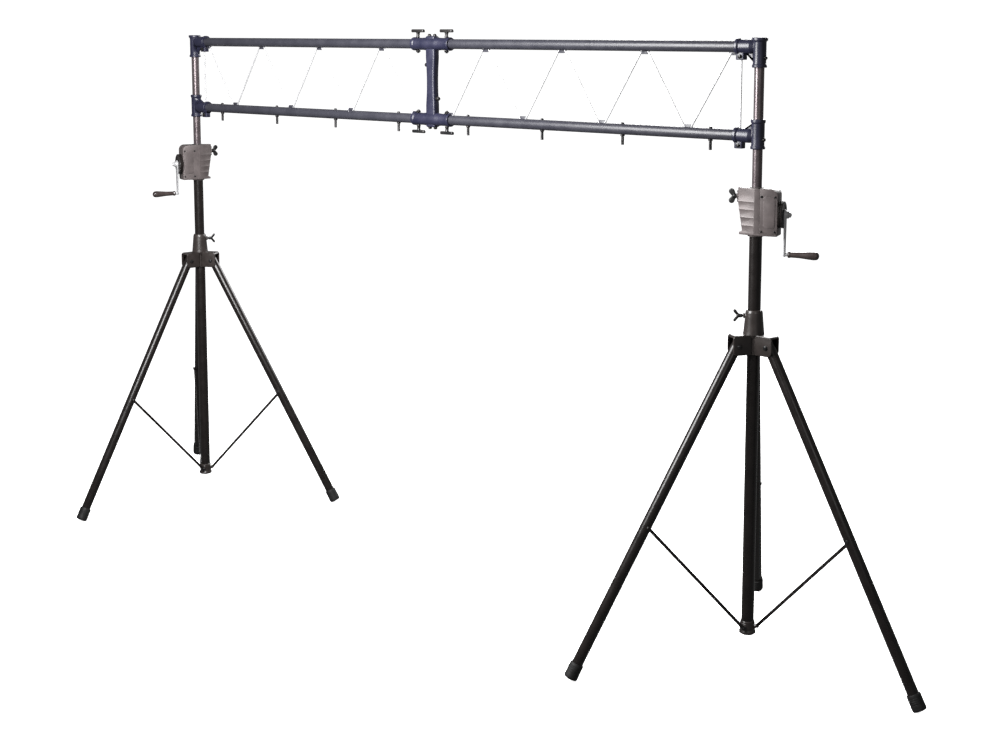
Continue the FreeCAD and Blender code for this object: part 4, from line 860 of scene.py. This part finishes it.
    def cover_plate(self) -> None:
        """The pressed cover over the gears, with a raised panel and four screws."""
        low, high = self.cover_inner + self.cover_seam, self.outer
        foot = self.cover_foot + self.cover_seam
        outline = rounded([(low, foot), (high, foot), (high, self.height), (low, self.height)],
                          [1.5, 3.0, self.crown, 1.5], 8)
        panel = rounded([(low + 13, 30.0), (high - 8, 30.0), (high - 8, self.height - 30),
                         (low + 13, self.height - 22)], 9.0, 6)
        front = upright(0, -self.half_depth + self.cover)
        back = along_y(0, self.half_depth, 0)
        rear_panel = panel * (1, -1)
        self.make("gear_cover",
                  [prism(outline, 0.0, self.cover, 0.9).carried(front),
                   prism(panel, self.cover - 1.0, self.cover + 1.3, 1.0).carried(front),
                   prism(rear_panel, -1.0, 1.3, 1.0).carried(back)], Paints.WINCH_CASTING, "base",
                  self.place(), "winch_cover")
        screws = []
        for side in (-1, 1):
            for x in (self.cover_inner + 6.0, self.outer - 8.0):
                for z in (16.0, self.height - 28.0):
                    at = along_y(x, side * (self.half_depth - 0.1), z, side)
                    screws.append(round_head(4.2, 2.6, 1.7).carried(at))
        for gap in (-self.nose_screw_gap, self.nose_screw_gap):
            at = along_x(-self.nose, 0, self.lock_rise + gap, -1)
            screws += [hexagon(8.0, 5.0).carried(at), washer(6.0, 2.0, 1.0).carried(at)]
        self.make("winch_screws", screws, Paints.DARK_STEEL, "base", self.place())

    def mast_bush(self) -> None:
        """The guide ring in the top of the case."""
        top = self.height
        corners = [(17.9, top - 12), (21.9, top - 12), (21.9, top), (24.9, top), (24.9, top + 2),
                   (17.9, top + 2)]
        ring = turned(rounded(corners, [0.3, 0.3, 0.2, 0.4, 0.8, 0.5], 3), 56, True)
        self.make("guide_ring", [ring], Paints.NYLON, "base", self.place(), "mast_bush")

    def brake(self) -> None:
        """The crank's shaft with its pinion, its ribbed brake disc, and the end nut on its bolt."""
        start, edge = self.brake_start, self.brake_radius
        disc = [(6.05, start), (30.0, start), (edge - 1.5, start), (edge, start + 1.5),
                (edge, start + 6), (edge - 2.2, start + 7), (edge - 2.2, start + 9),
                (edge, start + 10), (edge, start + 14.5), (edge - 1.5, start + 16),
                (34.0, start + 16), (32.0, start + 14), (20.0, start + 14), (18.0, start + 16),
                (6.05, start + 16)]
        knurl = turned(disc, 144, True, lambda angle, z: 0.45 * np.cos(48 * angle))
        teeth = np.arange(self.pinion_teeth * 4)
        tip = (teeth % 4 == 1) | (teeth % 4 == 2)
        reach = np.where(tip, self.pinion_tip, self.pinion_root)
        share = np.array([-0.39, -0.14, 0.14, 0.39])[teeth % 4]
        turn = 2 * math.pi * (teeth // 4 + share + 3.5) / self.pinion_teeth
        pinion = prism(np.column_stack([reach * np.cos(turn), reach * np.sin(turn)]), 57.5, 66.5,
                       0.3, 1)
        shaft = turned([(0, 53.5), (5.4, 53.5), (6.0, 54.1), (6.0, 116.0), (0, 116.0)], 32)
        to_crank = along_x(z=self.crank_rise)
        self.make("brake_disc", [shell.carried(to_crank) for shell in (knurl, pinion, shaft)],
                  Paints.BLACK_PAINT, "crank", self.place(), "crank_shaft")
        nut_at = along_x(self.arm_start + 15.2, 0, self.crank_rise)
        bolt = turned([(0, 0), (4.2, 0), (4.2, 8.6), (3.6, 9.4), (0, 9.4)], 24)
        self.make("crank_nut", [hexagon(18.0, 7.0, 1.4).carried(nut_at), bolt.carried(nut_at)],
                  Paints.BRIGHT_STEEL, "crank", self.place())

    def crank(self) -> None:
        """The tapered crank arm, its boss, and the spindle under the grip."""
        outline = link_outline(18.0, 8.5, self.crank_radius)
        arm_at = placed((self.arm_start, 0, self.crank_rise), (1, 0, 0), (0, 0, -1))
        boss = spun([(0, 3), (16.0, 3), (16.0, 5), (13.0, 9), (13.0, 15.2), (0, 15.2)],
                    [0, 0.2, 1, 3, 1.5, 0], 40)
        tip = self.crank_rise - self.crank_radius
        spindle = spun([(0, 0), (6.5, 0), (6.5, 13.6), (4.0, 13.6), (4.0, 110), (0, 110)],
                       [0, 0.5, 1.2, 0.3, 0.6, 0], 28)
        rivet = spun([(0, -3.4), (5.0, -3.0), (7.0, 0), (0, 0.2)], [0, 2.0, 0.2, 0], 28)
        at_tip = along_x(self.arm_start, 0, tip)
        self.make("crank_lever",
                  [prism(outline, 0.0, 5.0, 1.3).carried(arm_at),
                   boss.carried(along_x(self.arm_start, 0, self.crank_rise)),
                   spindle.carried(at_tip), rivet.carried(at_tip)], Paints.BRIGHT_STEEL, "crank",
                  self.place(), "crank_arm")

    def grip(self) -> None:
        """The waisted grip, fattest near its free end, with a ferrule at the arm."""
        length = self.grip_length
        corners = [(4.1, 0.0), (10.5, 0.0), (12.0, 3.5), (9.6, 11.0), (10.6, 0.4 * length),
                   (13.6, 0.68 * length), (15.0, 0.83 * length), (13.4, 0.95 * length),
                   (6.0, length), (0.0, length)]
        outside = smooth_profile(corners, [0, 1.2, 1.5, 8, 40, 40, 18, 9, 4, 0], 7)
        line = np.vstack([[(0.0, 101.0), (4.1, 101.0)], outside])
        at = along_x(self.grip_start, 0, self.crank_rise - self.crank_radius)
        self.make("crank_handle", [turned(line, 48).carried(at)], Paints.GRIP_PLASTIC, "grip",
                  self.place(), "crank_grip")

    def lock(self) -> None:
        """The butterfly knob: two pillowed lobes on a hub, on its clamping screw."""
        start, rise = self.nose + 8.0, self.lock_rise
        hub = spun([(0, 0), (9.0, 0), (9.0, 9), (7.0, 12), (0, 12)], [0, 1, 3, 2, 0], 40)
        shells = [hub.carried(along_x(-start, 0, rise, -1)),
                  threaded_rod(5.0, 18.0, start + 2, 1.5).carried(along_x(0, 0, rise, -1))]
        for sign in (-1, 1):
            outline = link_outline(6.5, 10.5, math.hypot(10.0, 16.0), 18)
            lobe = placed((-start - 7, 4.0, rise), (0, -1, 0), (-10.0, 0, sign * 16.0))
            shells.append(prism(outline, 0.0, 8.0, 3.2, 5).carried(lobe))
        self.make("butterfly_knob", shells, Paints.BLACK_PLASTIC, "mast_lock_knob", self.place(),
                  "mast_lock")

    def build(self) -> None:
        """Make every piece of the winch."""
        self.case()
        self.cover_plate()
        self.mast_bush()
        self.brake()
        self.crank()
        self.grip()
        self.lock()
        dress(self.post.node("cable_drum"), Paints.DARK_STEEL)
        dress(self.post.node("lift_cable"), Paints.WIRE_ROPE)


# ---- Collar, hub, legs and braces ---------------------------------------------------------------
@dataclass
class Tripod(StandPart):
    """The column's foot, the sliding collar and the three folding legs of one stand."""

    arm_reach: float = 90.0
    arm_half: float = 26.0
    arm_slot: float = 20.6
    arm_height: float = 72.0
    leg_radius: float = 20.0
    leg_head: float = 18.0
    foot_circle: float = 690.0
    foot_sink: float = 4.0
    foot_radius: float = 25.0
    groove_rises: tuple[float, ...] = (46.0, 39.0, 32.0, 25.0)
    tube_wall: float = 1.5
    neck_bore: float = 22.9
    bolt_reach: float = 31.5
    wing_root: float = 55.0
    lug_width: float = 20.0
    rivet_down: float = 712.0
    brace_inner: float = 20.6
    brace_outer: float = 24.6
    wing_rise: float = 136.0

    def measures(self) -> dict[str, float]:
        """The pivot's radius and height, the leg's lean and the foot's distance down the leg."""
        radius, height = self.post.pivot("leg_1_swing")
        lean = math.atan2(self.foot_circle - radius, height)
        length = math.hypot(self.foot_circle - radius, height)
        foot = length - (self.foot_radius * math.sin(lean) - self.foot_sink) / math.cos(lean)
        return {"radius": radius, "height": height, "lean": lean, "foot": foot}

    def leg_place(self, number: int) -> np.ndarray:
        """A leg's own frame: origin at the pivot, Z down the leg, the brace on its -Y side."""
        at = self.measures()
        lean = at["lean"]
        down = placed((at["radius"], 0, at["height"]), (math.sin(lean), 0, -math.cos(lean)),
                      (math.cos(lean), 0, math.sin(lean)))
        return self.post.at(self.post.leg_heading(number)) @ down

    def collar(self) -> None:
        """The casting: a tapered neck, three yokes with rounded ends, and the wing screw's boss."""
        low = bottom(self.post.node("leg_collar"))
        place = self.post.at(self.post.leg_heading(1), low)
        radius, height = self.post.pivot("leg_1_swing")
        neck = smooth_profile([(0, 0), (31, 0), (31, 60), (38, 71), (36.4, 82), (30.4, 148),
                               (27.5, 158), (0, 158)], [0, 2, 6, 5, 14, 8, 4, 0], 5)
        outline = rounded([(19.7, 0.35), (self.arm_reach, 0.35), (self.arm_reach, self.arm_height),
                           (19.7, self.arm_height)], [0.5, 17, 11, 0.5], 7)
        slot = rounded([(33, -5), (95, -5), (95, self.arm_height - 7), (33, self.arm_height - 7)],
                       [0.5, 0.5, 0.5, 9], 5)
        shells, cuts, bolts = [turned(neck, 72)], [bore(self.neck_bore, -5, 165)], []
        for number in LEGS:
            turn = about_z(LEG_STEP * (number - 1))
            pivot_at, yoke_at = turn @ upright(radius, 0, height - low), turn @ upright()
            shells.append(prism(outline, -self.arm_half, self.arm_half, 2.4).carried(yoke_at))
            cuts.append(prism(slot, -self.arm_slot, self.arm_slot, 0.1, 1).carried(yoke_at))
            cuts.append(bore(BOLT_BORE, -35, 35, pivot_at))
            bolts.append(pin(4, -self.bolt_reach, self.bolt_reach).carried(pivot_at))
            for side in (-1, 1):
                face = turn @ along_y(radius, side * self.arm_half, height - low, side)
                bolts += [washer(9.0, 4.0).carried(face),
                          hexagon(13.0, 5.4, 1.2).carried(face @ about_z(17.0 * number))]
        wing = self.post.wing_heading() - self.post.leg_heading(1)
        boss_at = about_z(wing) @ along_x(0, 0, self.wing_rise)
        boss = smooth_profile([(0, 5), (12, 5), (12, 26), (9, 31), (9, 38), (0, 38)],
                              [0, 0.2, 3, 3, 1, 0])
        shells.append(turned(boss, 36).carried(boss_at))
        cuts.append(bore(4.06, 0, 45, boss_at))
        self.make("collar_casting", shells, Paints.COLLAR_CASTING, "collar", place, "leg_collar",
                  cuts)
        self.make("leg_bolts", bolts, Paints.DARK_STEEL, "collar", place)

    def wing_screw(self) -> None:
        """The Y-shaped screw: two curved wings that leave a round knot."""
        low = bottom(self.post.node("leg_collar"))
        count, knot = 16, self.wing_root
        width = domed(count, 0.28, 0.85)
        shells = [threaded_rod(4.0, self.neck_bore, knot, 1.25).carried(along_x(0, 0,
                                                                                self.wing_rise)),
                  spun([(0, 40), (5.5, 40), (7.2, 46), (7.2, 60), (0, 62)], [0, 1, 3, 5, 0],
                       28).carried(along_x(0, 0, self.wing_rise))]
        for sign in (-1, 1):
            path = arc_path((knot - 3, 0, self.wing_rise), sign * 36, sign * 30, 29.0, count)
            shells.append(limb(path, 5.4 * width, 3.2 * width, (0, 1, 0)))
        self.make("y_wing_screw", shells, Paints.DARK_STEEL, "wing_screw",
                  self.post.at(self.post.wing_heading(), low), "collar_wing_screw")

    def hub(self) -> None:
        """The flared cap on the column's foot, with a lug and a domed rivet for each brace."""
        low = bottom(self.post.node("brace_hub"))
        radius, height = self.post.pivot("brace_1_swing")
        cup = smooth_profile([(0, 0), (26, 0), (30, 4), (30, 9), (26, 17), (26, 47), (23, 50),
                              (0, 50)], [0, 1.5, 2, 3, 6, 2, 1.5, 0])
        lug = rounded([(8, height - low - 6), (radius + 6, height - low - 6),
                       (radius + 6, height - low + 6), (8, height - low + 6)], [0.5, 5.9, 5.9, 0.5],
                      6)
        shells, cuts, rivets = [turned(cup, 64)], [bore(COLUMN_BORE, 6, 60)], []
        for number in LEGS:
            turn = about_z(LEG_STEP * (number - 1))
            shells.append(prism(lug, 0.0, self.lug_width, 0.8).carried(turn
                                                                       @ upright(0,
                                                                                 self.lug_width)))
            pin_at = turn @ along_y(radius, 0, height - low)
            cuts.append(bore(3.02, 8.6, 40, pin_at))
            rivets.append(spun([(0, 8.7), (3, 8.7), (3, 25.2), (7, 25.2), (6, 28.4), (0, 28.6)],
                               [0, 0.2, 0.1, 1, 3, 0], 28).carried(pin_at))
        place = self.post.at(self.post.leg_heading(1), low)
        self.make("hub_casting", shells, Paints.COLLAR_CASTING, "base", place, "brace_hub", cuts)
        self.make("hub_rivets", rivets, Paints.DARK_STEEL, "base", place)

    def leg(self, number: int) -> None:
        """One leg tube with its top plug, the rivet through it and its rubber foot."""
        at, place, body = self.measures(), self.leg_place(number), f"leg_{number}"
        end, radius = at["foot"], self.leg_radius
        tube = ring_shell(radius, radius - self.tube_wall, -self.leg_head, end - 6.0, 0.6, 64)
        plug = smooth_profile([(0, -20.5), (16, -20.5), (19.4, -18.2), (18.4, -17.9), (18.4, -10),
                               (0, -10)], [0, 3, 0.6, 0.1, 0.5, 0])
        pivot = bore(4.06, -30, 30, along_y())
        self.make(f"leg_tube_{number}", [tube], Paints.BLACK_PAINT, body, place, f"leg_{number}",
                  [pivot])
        far = along_y(0, radius - 0.6, self.rivet_down)
        near = upright(0, -radius + 0.6, self.rivet_down)
        rivet = spun([(0, -1), (7, -1), (7, 0.8), (5.2, 3.4), (0, 3.6)], [0, 0.2, 0.6, 2, 0], 28)
        spacer = spun([(0, -1), (7.5, -1), (7.5, 1.1), (0, 1.1)], [0, 0.2, 0.2, 0], 28)
        self.make(f"leg_fittings_{number}",
                  [turned(plug, 40), rivet.carried(far), spacer.carried(near)],
                  Paints.BLACK_PLASTIC, body, place)
        rim, grooves = self.foot_radius, []
        for up in self.groove_rises:
            grooves += [(rim, end - up - 1.6), (24.1, end - up - 1.0), (24.1, end - up + 1.0),
                        (rim, end - up + 1.6)]
        corners = [(0.0, end - 6), (TUBE_SEAT, end - 6), (TUBE_SEAT, end - 58),
                   (24.0, end - 58)] + grooves
        corners += [(rim, end - 7), (23.0, end - 2), (17.0, end), (0.0, end)]
        radii = [0, 0.3, 0.4, 1.6] + [0.5] * len(grooves) + [3.0, 2.0, 2.0, 0]
        cap = spun(corners, radii, 64, 3).carried(place)
        cap.points[:, 2] = np.maximum(cap.points[:, 2], 0.0)
        self.make(f"rubber_foot_{number}", [cap], Paints.FOOT_RUBBER, body, None, f"foot_{number}")

    def brace(self, number: int) -> None:
        """One flat bar from the hub's pin to the rivet on its leg."""
        at = self.measures()
        radius, height = self.post.pivot(f"brace_{number}_swing")
        run = at["radius"] + self.rivet_down * math.sin(at["lean"]) - radius
        rise = at["height"] - self.rivet_down * math.cos(at["lean"]) - height
        length, depth = math.hypot(run, rise), self.brace_outer - self.brace_inner
        bar_at = placed((radius, self.brace_inner, height), (0, 1, 0), (run, 0, rise))
        bar = prism(link_outline(6.0, 6.001, length, 10), 0.0, depth, 1.3)
        boss = ring_shell(8.2, 3.1, -0.4, depth + 0.5, 0.5, 32)
        head = spun([(0, 0), (7, 0), (7, 1.2), (5.2, 3.6), (0, 3.9)], [0, 0.1, 0.8, 2, 0], 28)
        foot = placed((length, 0, depth))
        tail = spun([(0, -0.5), (8.2, -0.5), (8.2, 0.4), (0, 0.4)], [0, 0.2, 0.2, 0], 28)
        self.make(f"brace_bar_{number}", [bar], Paints.BLACK_PAINT, f"brace_{number}",
                  self.post.at(self.post.leg_heading(number)) @ bar_at, f"brace_{number}",
                  [bore(3.06, -3, 12)], [boss, head.carried(foot), tail.carried(foot)])

    def build(self) -> None:
        """Make every piece of the tripod."""
        self.collar()
        self.wing_screw()
        self.hub()
        for number in LEGS:
            self.leg(number)
            self.brace(number)
        dress(self.post.node("column_tube"), Paints.BLACK_PAINT)


# ---- Truss --------------------------------------------------------------------------------------
ShellSets = tuple[list[Shell], list[Shell], list[Shell]]


@dataclass
class Truss:
    """The two sections, the brackets on the masts and the casting that joins the sections."""

    upper: float = 2208.0
    lower: float = 1898.0
    socket_reach: float = 90.0
    post_top: float = 2240.0
    post_bottom: float = 1866.0
    sleeve_reach: float = 104.0
    handle_reach: float = 80.0
    post_edge: float = 6.0
    upper_clamp: tuple[float, float] = (2136.0, 2240.0)
    lower_clamp: tuple[float, float] = (1853.0, 1957.0)
    bays: int = 7
    lacing_start: float = 100.0
    lacing_margin: float = 98.0
    tab_seat: float = 19.6
    last_tab_shift: float = 4.0
    body: str = "truss"

    def middle(self) -> tuple[float, float]:
        """The truss's centre seen from above."""
        left, right = centre("left_mast"), centre("right_mast")
        return (left[0] + right[0]) / 2, (left[1] + right[1]) / 2

    def bracket(self, height: float, low: float, top: float, capped: bool) -> ShellSets:
        """One clamp casting about a mast's axis.

        Args:
            height: The height of its chord's axis.
            low: Its lower end.
            top: Its upper end.
            capped: Whether it closes over the mast's end.

        Returns:
            Its skins, what is cut from them, and its fasteners.
        """
        rim = 28.0 if capped else 26.0
        sleeve = smooth_profile([(0, low), (26, low), (26, low + 8), (23, low + 13), (23, top - 15),
                                 (rim, top - 10), (rim, top), (0, top)], [0, 1.5, 2, 3, 4, 2, 3, 0])
        reach = self.socket_reach
        socket = smooth_profile([(0, 12.3), (19.6, 12.3), (20, 16), (25, 30), (25, reach - 16),
                                 (29, reach - 11), (29, reach), (0, reach)],
                                [0, 0.5, 3, 10, 3, 2, 2, 0])
        lug_low, inward = height - 46.0, along_x(0, 0, height, -1)
        lug = prism(rounded([(-reach, -13), (-reach + 34, -13), (-reach + 34, 13), (-reach, 13)],
                            5.0, 4), lug_low, height - 8, 2.2)
        base, edge = (low + 14, height - 22) if capped else (top - 12, height + 22)
        web = prism(rounded([(-18, base), (-18, edge), (-56, edge)], [0.5, 0.5, 0.5], 1), -4.5, 4.5,
                    1.0)
        bolt_x, bolt_z = -reach + 18, lug_low + 12
        shells = [turned(sleeve, 64), turned(socket, 64).carried(inward), lug,
                  web.carried(upright())]
        slit = rounded([(-reach - 3, -1), (-35, -1), (-35, 1), (-reach - 3, 1)], 0.2, 1)
        cross = along_y(bolt_x, 0, bolt_z)
        cuts = [bore(MAST_BORE, low - 3, top - 5 if capped else top + 3),
                bore(CHORD_BORE, 35, reach + 3, inward), prism(slit, lug_low - 3, height, 0.05, 1),
                bore(BOLT_BORE, -20, 20, cross)]
        fasteners = [pin(4, -17, 17).carried(cross)]
        for side in (-1, 1):
            face = placed((bolt_x, side * 13.0, bolt_z), (0, side, 0), (1, 0, 0.3))
            fasteners += [washer(8.5, 4.0, 1.2).carried(face),
                          hexagon(13.0, 5.6, 1.2).carried(face)]
        out = along_x(22.4, 0, low + 0.32 * (top - low))
        fasteners += [washer(8.0, 3.0, 1.4).carried(out), hexagon(11.0, 6.4, 1.0).carried(out)]
        return shells, cuts, fasteners

    def brackets(self, side: int) -> None:
        """The upper and lower castings of one mast."""
        name = "right" if side > 0 else "left"
        at = about_z(0.0 if side > 0 else 180.0, (*centre(f"{name}_mast"), 0.0))
        bolts: list[Shell] = []
        for label, height, span, capped in (("upper", self.upper, self.upper_clamp, True),
                                            ("lower", self.lower, self.lower_clamp, False)):
            shells, cuts, fasteners = self.bracket(height, *span, capped)
            piece(f"{name}_{label}_clamp", shells, Paints.BRACKET_PAINT, self.body, at,
                  [f"{name}_end_brackets"] if capped else (), cuts)
            bolts += fasteners
        piece(f"{name}_clamp_bolts", bolts, Paints.DARK_STEEL, self.body, at)

    def post_level(self, height: float) -> tuple[float, float]:
        """Half the post's width and depth at a height: straight shoulders, then a waist."""
        middle, straight = (self.post_top + self.post_bottom) / 2, 95.0
        share = min(1.0, abs(height - middle) / straight)
        return 21.0 + 4.0 * share ** 2, 16.2 + 0.8 * share ** 2

    def post(self) -> None:
        """The waisted casting with its through sleeves and the bolts in its ends and sides."""
        place = about_z(0.0, (*self.middle(), 0.0))
        rings = []
        rise = np.linspace(0, math.pi / 2, 6)
        near = self.post_edge * (1 - np.cos(rise))
        levels = list(self.post_bottom + near)
        levels += list(np.linspace(self.post_bottom + 10, self.post_top - 10, 33))
        levels += list(self.post_top - near[::-1])
        edge = self.post_edge
        for z in levels:
            gap = min(z - self.post_bottom, self.post_top - z, edge)
            rim = edge - math.sqrt(max(edge ** 2 - (edge - gap) ** 2, 0.0))
            width, depth = self.post_level(z)
            ring = rounded([(width, -depth), (width, depth), (-width, depth), (-width, -depth)],
                           7.0, 5)
            rings.append(np.column_stack([inset(ring, rim), np.full(len(ring), z)]))
        shells, cuts, bolts = [stacked(np.array(rings))], [], []
        far = self.sleeve_reach
        for height in (self.lower, self.upper):
            line = [(0, -far), (27.5, -far), (27.5, -far + 12), (25, -far + 16), (25, -50),
                    (27, -30), (27, 30), (25, 50), (25, far - 16), (27.5, far - 12), (27.5, far),
                    (0, far)]
            sleeve = spun(line, [0, 2, 2, 3, 20, 12, 12, 20, 3, 2, 2, 0], 64)
            shells.append(sleeve.carried(along_x(0, 0, height)))
            cuts.append(bore(CHORD_BORE, -far - 5, far + 5, along_x(0, 0, height)))
            for x in (-self.handle_reach, self.handle_reach):
                cuts.append(bore(5.06, -50, 50, placed((x, 0, height))))
        head = spun([(0, -4), (8, -4), (8, 5), (5, 9), (0, 9.4)], [0, 0.2, 3, 3, 0], 32)
        for x in (-15.0, 15.0):
            bolts.append(head.carried(placed((x, 0, self.post_top))))
            bolts.append(head.carried(placed((x, 0, self.post_bottom), (0, 0, -1))))
        stub = spun([(0, -6), (8, -6), (8, 11), (6, 14), (0, 14.3)], [0, 0.2, 3, 3, 0], 32)
        for x, z in ((-1, self.upper - 86.0), (1, self.lower + 86.0)):
            bolts.append(stub.carried(along_x(x * 25.0, 0, z, x)))
        piece("junction_casting", shells, Paints.BRACKET_PAINT, self.body, place, ["junction_post"],
              cuts)
        piece("post_screws", bolts, Paints.DARK_STEEL, self.body, place, ["junction_bolts"])

    def handle(self, side: int, height: float, up: int, name: str) -> None:
        """A T-handle: a flat bar with round ends on a necked bolt, and the nut on the far side."""
        bar = prism(link_outline(8.0, 8.001, 56.0, 12), 0.0, 13.0, 4.2, 5)
        bolt = spun([(0, -38), (5, -38), (5, 26), (8.5, 26), (8.5, 30), (7, 34), (7, 42), (9.5, 48),
                     (0, 48)], [0, 1.2, 0.1, 0.6, 1, 3, 3, 0.5, 0], 36)
        shells = [bar.carried(placed((-28, 0, 47))), bolt,
                  hexagon(17.0, 8.0, 1.4).carried(placed((0, 0, -26), (0, 0, -1))),
                  washer(12.0, 5.0, 1.0).carried(placed((0, 0, -26), (0, 0, -1)))]
        x, y = self.middle()
        at = placed((x + side * self.handle_reach, y, height), (0, 0, up), (1, 0, 0))
        piece(f"{name}_t_bolt", shells, Paints.DARK_STEEL, f"{name}_handle", at, [f"{name}_handle"])

    def hangers(self) -> None:
        """The flanged studs through the lower chords, threaded below."""
        shells = []
        for x in self.stud_places():
            y = self.middle()[1]
            stud = threaded_rod(6.0, self.lower - 58, self.lower - 24, 1.75)
            flange = smooth_profile([(0, self.lower - 25), (8.5, self.lower - 25),
                                     (8.5, self.lower - 20.2), (0, self.lower - 18.5)],
                                    [0, 0.8, 0.6, 0])
            nub = smooth_profile([(0, self.lower + 14), (6, self.lower + 14), (6, self.lower + 26),
                                  (0, self.lower + 26)], [0, 0.2, 2.5, 0])
            shells += [shell.carried(placed((x, y, 0)))
                       for shell in (stud, turned(flange, 28), turned(nub, 28))]
        piece("hanger_studs", shells, Paints.DARK_STEEL, self.body, None, ["hanger_bolts"])

    def stud_places(self) -> list[float]:
        """Where the studs stand along X: every other bay's middle, on both sides."""
        first, pitch = self.lacing_pitch()
        middle = self.middle()[0]
        return [middle + side * (first + pitch * (bay + 0.5)) for side in (-1, 1)
                for bay in range(0, self.bays, 2)]

    def lacing_pitch(self) -> tuple[float, float]:
        """The first lacing node's distance from the centre, and the bays' pitch."""
        half = (centre("right_mast")[0] - centre("left_mast")[0]) / 2
        pitch = (half - self.lacing_margin - self.lacing_start) / self.bays
        return self.lacing_start, pitch

    def tabs(self) -> None:
        """The small plates that the lacing rods are welded to, under and over the chords."""
        first, pitch = self.lacing_pitch()
        x0, y0 = self.middle()
        shells = []
        for side in (-1, 1):
            for node in range(self.bays + 1):
                upper = node % 2 == 1
                z = self.upper - self.tab_seat if upper else self.lower + self.tab_seat
                x = x0 + side * (first + node * pitch)
                if node == self.bays:
                    x -= side * self.last_tab_shift
                down = -1 if upper else 1
                plate = rounded([(-21, 0), (21, 0), (13, down * 11), (-13, down * 11)],
                                [0.8, 0.8, 5, 5], 4)
                shells.append(prism(plate, -2.6, 2.6, 0.9).carried(upright(x, y0, z)))
        piece("lacing_tabs", shells, Paints.TRUSS_PAINT, self.body)

    def build(self) -> None:
        """Make every piece of the truss."""
        for side, name in ((1, "right"), (-1, "left")):
            self.brackets(side)
            self.handle(side, self.upper, 1, f"{name}_upper")
            self.handle(side, self.lower, -1, f"{name}_lower")
            dress(f"{name}_mast", Paints.MAST_PAINT)
            dress(f"{name}_upper_chord", Paints.TRUSS_PAINT)
            dress(f"{name}_lower_chord", Paints.TRUSS_PAINT)
        self.post()
        self.hangers()
        self.tabs()
        dress("lacing_rods", Paints.BRIGHT_STEEL)


# ---- Studio -------------------------------------------------------------------------------------
@dataclass
class Studio:
    """The camera, the soft boxes and the pale floor. Places are metres from the truss's middle."""

    origin: Vector
    fill: float = 0.2
    backdrop: float = 1.05
    eye: Vec = (4.3144, -4.6162, 2.268)
    tilt: float = 7.326
    heading: float = 40.537
    sensor: float = 36.0
    lens: float = 54.82
    shift: float = -0.15
    view_reach: float = 60.0
    floor_reach: float = 40.0
    floor_level: float = -0.001
    floor_shade: float = 0.93
    floor_glow: float = 0.92

    def camera(self) -> None:
        """A long lens at the height of the truss, looking a little down."""
        data = bpy.data.cameras.new("camera")
        data.sensor_width, data.lens, data.shift_y = self.sensor, self.lens, self.shift
        data.clip_end = self.view_reach
        shown = bpy.data.objects.new("camera", data)
        shown.location = self.origin + Vector(self.eye)
        shown.rotation_euler = (math.radians(90.0 - self.tilt), 0.0, math.radians(self.heading))
        bpy.context.scene.collection.objects.link(shown)
        bpy.context.scene.camera = shown

    def box(self, name: str, place: Vec, target: Vec, size: Vec, power: float) -> None:
        """One soft box that the camera does not see."""
        data = bpy.data.lights.new(name, "AREA")
        data.shape, data.size, data.size_y, data.energy = "RECTANGLE", size[0], size[1], power
        lamp = bpy.data.objects.new(name, data)
        lamp.location = self.origin + Vector(place)
        aim = Vector(target) - Vector(place)
        lamp.rotation_euler = aim.to_track_quat("-Z", "Y").to_euler()
        lamp.visible_camera = False
        bpy.context.scene.collection.objects.link(lamp)

    def world(self) -> None:
        """White all round: bright behind the stands, dim as a light on them."""
        world = bpy.data.worlds.new("studio")
        world.use_nodes = True
        tree = world.node_tree
        shade, wall = tree.nodes["Background"], tree.nodes.new("ShaderNodeBackground")
        for node, strength in ((shade, self.fill), (wall, self.backdrop)):
            node.inputs["Color"].default_value = WHITE
            node.inputs["Strength"].default_value = strength
        rays, mixer = tree.nodes.new("ShaderNodeLightPath"), tree.nodes.new("ShaderNodeMixShader")
        tree.links.new(rays.outputs["Is Camera Ray"], mixer.inputs[0])
        tree.links.new(shade.outputs[0], mixer.inputs[1])
        tree.links.new(wall.outputs[0], mixer.inputs[2])
        tree.links.new(mixer.outputs[0], tree.nodes["World Output"].inputs["Surface"])
        bpy.context.scene.world = world
        bpy.context.scene.view_settings.view_transform = "Standard"

    def floor(self) -> None:
        """A wide pale floor."""
        mesh = bpy.data.meshes.new("floor")
        reach = self.floor_reach
        corners = [(-reach, -reach, 0), (reach, -reach, 0), (reach, reach, 0), (-reach, reach, 0)]
        mesh.from_pydata(corners, [], [(0, 1, 2, 3)])
        ground = bpy.data.objects.new("floor", mesh)
        ground.location = (0.0, 0.0, self.floor_level)
        bpy.context.scene.collection.objects.link(ground)
        sheet = Sheet("floor")
        shader = sheet.add("ShaderNodeBsdfPrincipled",
                           values={"Base Color": opaque((self.floor_shade,) * 3), "Roughness": 0.9,
                                   "Emission Color": WHITE, "Emission Strength": self.floor_glow})
        sheet.add("ShaderNodeOutputMaterial", values={"Surface": shader})
        mesh.materials.append(sheet.material)
        ground.visible_glossy = ground.visible_diffuse = False

    def build(self) -> None:
        """Set the stage."""
        self.camera()
        self.world()
        self.box("key", (0.1, -2.0, 2.6), (0.1, 0.0, 1.1), (1.2, 2.0), 290.0)
        self.box("side", (5.2, -3.4, 3.2), (0.8, 0.0, 1.2), (1.4, 2.0), 26.0)
        self.box("back", (-0.6, 4.4, 3.4), (0.0, 0.0, 1.2), (3.4, 2.2), 300.0)
        self.floor()


def main() -> None:
    """Build both stands, the truss and the studio."""
    logging.basicConfig(level=logging.INFO, format="%(message)s")
    truss = Truss()
    x, y = truss.middle()
    Studio(Vector((x * MM, y * MM, 0.0))).build()
    for name in ("right", "left"):
        post = Post(name)
        Winch(post).build()
        Tripod(post).build()
    truss.build()


if __name__ == "__main__":
    main()
